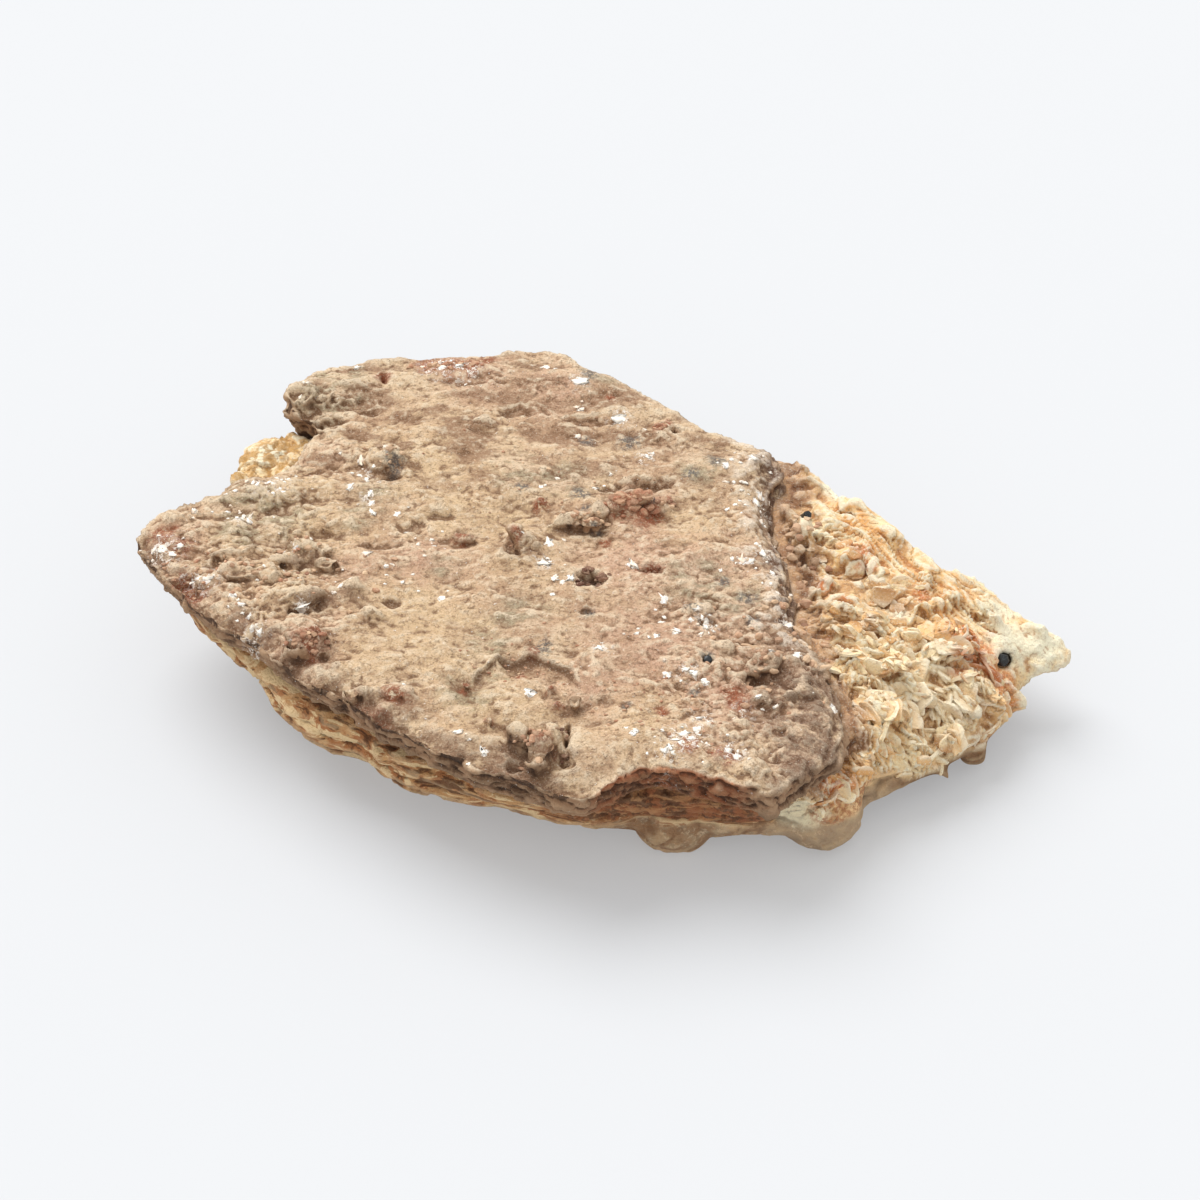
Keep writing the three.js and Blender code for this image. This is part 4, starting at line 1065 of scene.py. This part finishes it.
def markMatrix(mesh):
    points = pointsOf(mesh)
    normals = evened(mesh, normalsOf(mesh), 8)
    x, y, z = points.T
    # hollow, dip and crisp measure hollows and crests at three sizes; the pale rock's colour uses them for
    # painted shade in hollows and painted highlights on crests
    setMask(mesh, "hollow", hollowness(mesh, 9, 0.32))
    setMask(mesh, "dip", hollowness(mesh, 60, 1.1))
    setMask(mesh, "crisp", hollowness(mesh, 3, 0.1))
    setMask(mesh, "flaky", openRock(points, normals))
    markStains(mesh, points)
    uneven = 1.4 * wander(points, (5, 5, 5), 73) + 0.6 * wander(points, (1.8, 1.8, 1.8), 74)
    setMask(mesh, "banded", step(z + uneven - 0.12 * (-20 - x).clip(0), 7, 9))
    redFace = step(x, -12, -2) * step(x, 30, 26) * step(y, -38, -43)
    setMask(mesh, "redFace", redFace * step(z + 0.5 * uneven, 8.6, 9.6))
    greenFace = step(np.hypot(x - 31 - 0.4 * uneven, z - 11.5) / 4.6, 1.15, 0.9)
    setMask(mesh, "greenFace", greenFace * step(y, -37, -40))
    redEdge = step(np.hypot((x - 37.6) / 5.4, (z - 9.4 - 0.4 * uneven) / 1.5), 1.2, 0.8)
    setMask(mesh, "redEdge", redEdge * step(y, -34, -38))
    greyLump = step(x, 24, 28) * step(x, 48, 44) * step(y, -28, -34)
    setMask(mesh, "greyLump", greyLump * step(z + 0.3 * uneven, 8.6, 7.2))
    strip = step(x, 36, 40) * step(x, 54, 49) * step(y, -24, -30)
    setMask(mesh, "strip", strip * step(z + 0.4 * uneven, 6, 8))
    setMask(mesh, "behind", step(pastBackLine(x, y), 0, 6))
    setMask(mesh, "brownEnd", step(x, 42, 48) * step(z, 7.6, 5))


def paleStone():
    stone = Surface("pale_stone")
    grain, between, mask = stone.grain, stone.between, stone.mask
    broad = grain(8, 4, 0.6)
    mid = grain(2.4, 5, 0.65)
    fine = grain(0.8, 4, 0.75)
    sand = grain(0.3, 3, 0.7)
    beds = grain(2.2, 5, 0.6, stone.place((0.22, 0.22, 1)), 1.5)
    flaky, behind, crisp = mask("flaky"), mask("behind"), mask("crisp")
    # low is painted shade in hollows and high a painted highlight on crests; crisp does the same at a
    # smaller size
    low = between(mask("hollow"), 0.54, 0.95)
    high = between(mask("hollow"), 0.46, 0.08)
    slope = stone.painted(
        (208, 164, 124),
        ((158, 116, 88), between(broad + mid, 0.9, 1.08)),
        # painted shade in hollows, then a painted highlight on crests
        ((110, 84, 68), 0.6 * low),
        ((220, 188, 156), 0.5 * high),
    )
    upper = stone.painted(
        (255, 230, 182),
        ((246, 204, 144), between(broad, 0.44, 0.58)),
        ((232, 184, 126), 0.5 * between(grain(5, 3, 0.5), 0.52, 0.62)),
        ((232, 178, 116), 0.5 * between(mid, 0.52, 0.62)),
        ((238, 172, 98), 0.8 * mask("ochre") * between(mid, 0.42, 0.56)),
        ((246, 228, 190), 0.5 * mask("green")),
        ((255, 250, 222), 0.9 * mask("white")),
        ((200, 152, 106), 0.75 * mask("brown") * between(mid, 0.42, 0.54)),
        ((214, 122, 70), 0.85 * mask("rust") * between(fine, 0.4, 0.52)),
        # painted shade in broad hollows, weaker behind the back line
        ((206, 148, 92), 0.5 * between(mask("dip"), 0.56, 0.95) * (1 - 0.6 * behind)),
        # warm painted shade in hollows, warmer behind the back line, then a painted highlight on crests
        (stone.blend((180, 122, 70), (232, 150, 78), behind), 0.7 * low),
        ((255, 250, 226), 0.6 * high),
        # painted shade in small hollows, then a painted highlight on small crests
        ((140, 96, 60), 0.45 * between(crisp, 0.62, 0.96)),
        ((255, 250, 228), 0.2 * between(crisp, 0.38, 0.08)),
        ((200, 152, 86), 0.85 * mask("goldCorner") * between(mid, 0.44, 0.52)),
        (slope, 0.9 * mask("seam")),
    )
    bands = stone.painted(
        (206, 158, 108),
        ((180, 120, 76), between(broad + mid, 0.94, 1.06)),
        ((242, 214, 166), 0.9 * between(beds, 0.52, 0.555)),
        ((92, 60, 40), 0.85 * between(beds, 0.475, 0.43)),
    )
    redFace = stone.painted(
        (156, 96, 62),
        ((104, 68, 46), between(mid, 0.46, 0.56)),
        ((196, 140, 92), 0.6 * between(beds, 0.54, 0.58)),
    )
    flank = stone.painted(
        (206, 170, 132),
        ((160, 124, 92), between(broad, 0.44, 0.56)),
        ((164, 140, 112), 0.7 * between(mid, 0.5, 0.6)),
        ((124, 90, 64), 0.6 * between(mid, 0.47, 0.4)),
        ((232, 206, 172), 0.6 * between(fine + mid, 1.06, 1.2)),
        (bands, mask("banded")),
        ((112, 80, 52), 0.85 * mask("brownEnd") * between(mid, 0.36, 0.5)),
        (redFace, 0.95 * mask("redFace")),
        ((244, 232, 198), 0.95 * mask("greenFace")),
        ((255, 218, 166), 0.9 * mask("strip") * between(mid, 0.64, 0.5)),
        ((172, 150, 124), 0.75 * mask("greyLump") * between(mid, 0.62, 0.5)),
        ((184, 116, 80), 0.7 * mask("redEdge") * between(fine, 0.47, 0.54)),
        # painted shade in hollows, then a painted highlight on crests
        ((78, 52, 36), 0.65 * low),
        ((226, 196, 154), 0.45 * high * (1 - 0.8 * mask("redFace"))),
    )
    colour = stone.painted(
        flank,
        (upper, flaky),
        ((168, 118, 72), 0.3 * between(fine, 0.54, 0.64)),
        ((255, 248, 228), 0.3 * flaky * between(sand, 0.54, 0.62)),
        ((176, 130, 84), 0.2 * between(sand, 0.46, 0.38)),
    )
    normal = stone.bump(0.8 * fine + 0.3 * sand + 0.6 * mid, 0.95, 0.9)
    return stone.finish(colour, 0.76 + 0.14 * between(fine, 0.2, 0.8), normal, 0.3)


matrixPiece = makeMatrix()
matrixTree = treeOf(matrixPiece)
print("pale rock made:", len(matrixPiece.data.polygons), "faces")


# loose-looking flakes that stand on the open side of the pale rock

flakes = {
    "seed": 12,
    "count": 460,
    "long": (2, 4.8),
    "wide": (0.45, 0.85),  # as a share of the length
    "thick": (0.35, 0.8),
}


def makeFlakes():
    rng = random.Random(flakes["seed"])
    mesh = matrixPiece.data
    points = pointsOf(mesh)
    normals = broadNormals(mesh, 10)
    seam = np.empty(len(points))
    mesh.attributes["seam"].data.foreach_get("value", seam)
    crowd = openRock(points, normals) * step(normals[:, 2], -0.2, 0.2)
    crowd *= step(points[:, 0], 24, 30) * (1 - seam) * (1 - calmRock(points))
    crowd *= 0.3 + step(points[:, 1], -4, -14)
    crowd *= step(pastBackLine(points[:, 0], points[:, 1]), 10, 4)
    picked = rng.choices(range(len(points)), weights=crowd.tolist(), k=flakes["count"])
    bm, bodies, layers = balls(flakes["count"], 2, "rise", "tint", "warm")
    for ball, i in zip(bodies, picked):
        place = Vector(points[i])
        way = float(flakeWay(place.x, place.y)) + rng.gauss(0, 0.55)
        long = rng.uniform(*flakes["long"]) * (rng.random() * 0.6 + 0.5)
        long *= 1.3 if place.y < -17 and place.x > 46 else 1
        wide = long * rng.uniform(*flakes["wide"])
        normal = Vector(normals[i])
        place += normal * wide * rng.uniform(-0.2, 0.04)
        place.x = min(place.x, cadHigh[0] - 0.55 * long)
        place.y = max(cadLow[1] + 0.55 * long, min(place.y, cadHigh[1] - 0.55 * long))
        shapeFlake(ball, rng, place, normal, long, wide, rng.uniform(*flakes["thick"]), way, layers)
    piece = newPiece("pale_flakes", bm, "pale_matrix")
    points = pointsOf(piece.data)
    movePoints(piece.data, keepInBox(points))
    markStains(piece.data, points)
    piece.data.materials.append(flakeStone())
    return piece


def flakeStone():
    stone = Surface("flake_stone")
    grain, between, mask = stone.grain, stone.between, stone.mask
    mid = grain(2.4, 4, 0.65)
    fine = grain(0.7, 4, 0.75)
    sand = grain(0.28, 3, 0.7)
    rise, tint, warm = mask("rise"), mask("tint"), mask("warm")
    colour = stone.painted(
        (255, 232, 186),
        ((246, 200, 140), between(tint, 0.35, 0.8)),
        ((232, 190, 130), 0.5 * between(mid, 0.52, 0.62)),
        ((234, 174, 104), 0.8 * mask("ochre") * between(warm, 0.2, 0.8)),
        ((248, 228, 192), mask("green") * between(tint, 0.1, 0.7)),
        ((254, 248, 232), 0.85 * mask("white")),
        ((204, 158, 112), 0.85 * mask("brown") * between(warm, 0.1, 0.7)),
        ((210, 122, 70), 0.85 * mask("rust") * between(fine + tint, 0.7, 1)),
        ((236, 172, 78), 0.8 * mask("goldCorner") * between(mid, 0.5, 0.58)),
        ((150, 112, 88), 0.8 * mask("seam")),
        # painted shade towards the edge nearest the rock, then a painted highlight on the edge farthest out
        ((190, 128, 70), 0.75 * between(rise, 0.5, 0.05)),
        ((255, 250, 230), 0.5 * between(rise, 0.6, 0.98)),
        ((160, 116, 72), 0.35 * between(fine, 0.54, 0.64)),
        ((255, 250, 234), 0.35 * between(sand, 0.54, 0.62)),
    )
    normal = stone.bump(0.8 * fine + 0.3 * sand + 0.5 * mid, 0.8, 0.9)
    return stone.finish(colour, 0.72 + 0.14 * between(fine, 0.2, 0.8), normal, 0.32)


flakePiece = makeFlakes()
print("flakes made:", len(flakePiece.data.polygons), "faces")


def landing(x, y):
    # the top of the rock at a place, in millimetres, and the way that it faces
    best = None
    for tree in (crustTree, matrixTree):
        spot, normal, _, _ = dropOn(tree, x, y)
        if spot and (best is None or spot.z / mm > best[0].z):
            best = (spot / mm, normal)
    return best


# grains that lie in clusters on the crust

grains = {
    "seed": 21,
    # place, spread, number, size, and how rusty and how dark they are, 0 to 1
    "clusters": [
        (5, 10.2, 3.2, 2, 34, 1.3, 0.8, 0.15), (9.6, 11.8, 2.6, 1.8, 26, 1.15, 0.6, 0.3),
        (-1.4, -6.6, 2.6, 1.8, 42, 1.05, 0.45, 0.8), (8.2, -5, 2.2, 0.7, 20, 0.7, 0.7, 0.5),
        (10, 31.8, 1.3, 0.8, 10, 0.7, 0.7, 0.2), (-45.8, -23.2, 2.6, 1.8, 22, 0.9, 0.6, 0.2),
        (-9.8, -44.4, 3, 3.4, 22, 0.9, 0.35, 0.2), (-5.4, -43, 1, 3.6, 14, 0.6, 0.4, 0.7),
        (-3.2, 7, 4, 1, 20, 0.7, 0.2, 0), (-36.4, 22.6, 2.6, 1.8, 14, 0.7, 0, 0.3),
        (25.4, -26, 2, 2, 14, 0.8, 0.3, 0.3), (-27, 49, 5, 1.2, 26, 0.8, 0.7, 0),
        (-50, -6, 14, 8, 70, 0.7, 0.2, 0.1), (-12, -26, 10, 6, 46, 0.45, 0.4, 0.1),
        (24, -26, 8, 12, 30, 0.95, 0.25, 0.1), (30.4, -12, 4, 12, 14, 1.2, 0.1, 0.1),
        (32.4, 4, 4.4, 9, 24, 1.3, 0.15, 0.15), (34, -22, 4, 9, 14, 1.1, 0.1, 0.05),
        (-18, 18, 30, 22, 70, 0.4, 0.25, 0.1), (10, -36, 14, 10, 70, 0.5, 0.35, 0.1),
        (-66, -4, 6, 5, 30, 0.6, 0.5, 0.1),
    ],
}


def shapeChip(ball, rng, place, half):
    # a grain with broken faces: a ball cut flat on some sides
    cuts = []
    for _ in range(10):
        way = Vector([rng.gauss(0, 1) for _ in range(3)]).normalized()
        cuts.append((way, rng.uniform(0.5, 0.95)))
    for vert in ball:
        facing = [(vert.co.dot(way), depth) for way, depth in cuts]
        reach = min([1.2] + [depth / part for part, depth in facing if part > 0.1])
        shaped = Vector([axis * size * reach for axis, size in zip(vert.co, half)])
        vert.co = (shaped + place) * mm


def makeGrains():
    rng = random.Random(grains["seed"])
    number = sum(cluster[4] for cluster in grains["clusters"])
    bm, bodies, layers = balls(number, 2, "rusty", "dark", "tint")
    unused = []
    for middleX, middleY, spreadX, spreadY, count, coarse, rust, darkness in grains["clusters"]:
        for _ in range(count):
            ball = bodies.pop()
            x = middleX + rng.gauss(0, 0.5) * spreadX
            y = middleY + rng.gauss(0, 0.5) * spreadY
            found = landing(x, y)
            if not found or found[0].z < 15:
                unused.extend(ball)
                continue
            size = coarse * rng.uniform(0.45, 1.05) * 0.8
            half = (size * rng.uniform(0.8, 1.3), size * rng.uniform(0.7, 1), size * rng.uniform(0.55, 0.85))
            place = found[0] + Vector(found[1]) * (0.05 * size)
            shapeChip(ball, rng, place, half)
            rusty = max(0, min(1, rust + rng.gauss(0, 0.25)))
            dark = max(0, min(1, darkness + rng.gauss(0, 0.15)))
            tint = rng.random()
            for vert in ball:
                vert[layers["rusty"]] = rusty
                vert[layers["dark"]] = dark
                vert[layers["tint"]] = tint
    bmesh.ops.delete(bm, geom=unused, context="VERTS")
    piece = newPiece("crust_grains", bm, "brown_crust")
    movePoints(piece.data, keepInBox(pointsOf(piece.data)))
    piece.data.materials.append(grainStone())
    return piece


def grainStone():
    stone = Surface("grain_stone")
    between, mask = stone.between, stone.mask
    fine = stone.grain(0.6, 3, 0.65)
    sand = stone.grain(0.24, 2, 0.6)
    colour = stone.painted(
        (212, 182, 150),
        ((188, 152, 124), between(mask("tint"), 0.3, 0.8)),
        ((170, 116, 90), mask("rusty") * between(fine, 0.25, 0.55)),
        ((84, 56, 48), 0.9 * mask("dark")),
        ((236, 216, 190), 0.45 * between(sand, 0.58, 0.74)),
        ((110, 80, 60), 0.4 * between(fine, 0.6, 0.76)),
    )
    normal = stone.bump(0.6 * fine + 0.3 * sand, 0.35, 0.8)
    return stone.finish(colour, 0.82 + 0.1 * between(sand, 0.2, 0.8), normal, 0.25)


grainPiece = makeGrains()
print("grains made:", len(grainPiece.data.polygons), "faces")


# thin white flecks that cling to the crust

flecks = {
    "seed": 33,
    "thick": 0.12,
    "size": 0.42,
    "strewn": 200,
}


def shapeFleck(ball, rng, x, y, wideX, wideY):
    place, normal = landing(x, y)
    spin = Euler((0, 0, rng.uniform(-0.6, 0.6))).to_matrix()
    turn = Vector((0, 0, 1)).rotation_difference(normal).to_matrix() @ spin
    seed = Vector((x, y, 0))
    for vert in ball:
        ragged = max(0.25, 1 + 1.9 * noise.noise(Vector((vert.co.x, vert.co.y, 0)) * 2.6 + seed))
        wide = flecks["size"] * ragged
        shaped = Vector((vert.co.x * wideX * wide, vert.co.y * wideY * wide, vert.co.z * flecks["thick"]))
        shaped.z += 0.12 * noise.noise(vert.co * 3 + seed)
        vert.co = (turn @ shaped + place) * mm


def makeFlecks():
    rng = random.Random(flecks["seed"])
    places = list(crust["chalk"])
    while len(places) < len(crust["chalk"]) + flecks["strewn"]:
        x, y, wideX, wideY = rng.choice(crust["chalk"])
        size = rng.uniform(0.3, 0.75)
        x, y = x + rng.gauss(0, 2.4), y + rng.gauss(0, 1.8)
        if landing(x, y):
            places.append((x, y, size * rng.uniform(0.8, 1.6), size))
    places = [place for place in places if landing(place[0], place[1])]
    bm, bodies, _ = balls(len(places), 2)  # few faces each, as there are hundreds
    for ball, place in zip(bodies, places):
        shapeFleck(ball, rng, *place)
    piece = newPiece("white_flecks", bm, "pale_matrix")
    movePoints(piece.data, keepInBox(pointsOf(piece.data)))
    shadeSmooth(piece)
    piece.data.materials.append(whiteStone())
    return piece


def whiteStone():
    stone = Surface("white_stone")
    fine = stone.grain(0.5, 3, 0.65)
    mid = stone.grain(4, 2)
    colour = stone.painted(
        (250, 244, 234),
        ((236, 214, 190), 0.8 * stone.between(mid, 0.5, 0.66)),
        ((214, 190, 166), 0.5 * stone.between(fine, 0.56, 0.74)),
    )
    normal = stone.bump(fine, 0.25, 0.7)
    return stone.finish(colour, 0.5 + 0.2 * stone.between(fine, 0.3, 0.7), normal, 0.4)


fleckPiece = makeFlecks()
print("flecks made:", len(fleckPiece.data.polygons), "faces")


def makePrism(node, size):
    bm = bmesh.new()
    radius, long = size["radius"], size["long"]
    bmesh.ops.create_cone(bm, cap_ends=True, segments=6, radius1=radius, radius2=radius * 0.97, depth=long)
    rounding = {"offset": 0.13 * radius, "segments": 2, "profile": 0.5, "affect": "EDGES", "material": -1}
    bmesh.ops.bevel(bm, geom=bm.edges[:], **rounding)
    turn = Euler((0, size["lean"][1], 0)).to_matrix() @ Euler((size["lean"][0], 0, 0)).to_matrix()
    for vert in bm.verts:
        vert.co = (turn @ vert.co + Vector(size["at"])) * mm
    bmesh.ops.recalc_face_normals(bm, faces=bm.faces)
    piece = newPiece(node.replace("black_", ""), bm, "black_crystal", node)
    shadeSmooth(piece)
    piece.data.materials.append(darkCrystal())
    return piece


def darkCrystal():
    crystal = Surface("dark_crystal")
    fine = crystal.grain(0.5, 3, 0.6)
    scratch = crystal.grain(0.3, 2, 0.6, crystal.place((1, 1, 0.15)))
    colour = crystal.blend((24, 27, 30), (52, 58, 60), crystal.between(fine, 0.5, 0.72))
    normal = crystal.bump(scratch, 0.08, 0.6)
    return crystal.finish(colour, 0.22 + 0.2 * crystal.between(scratch, 0.3, 0.7), normal, 0.5)


for node, size in prisms.items():
    makePrism(node, size)
print("prisms made")
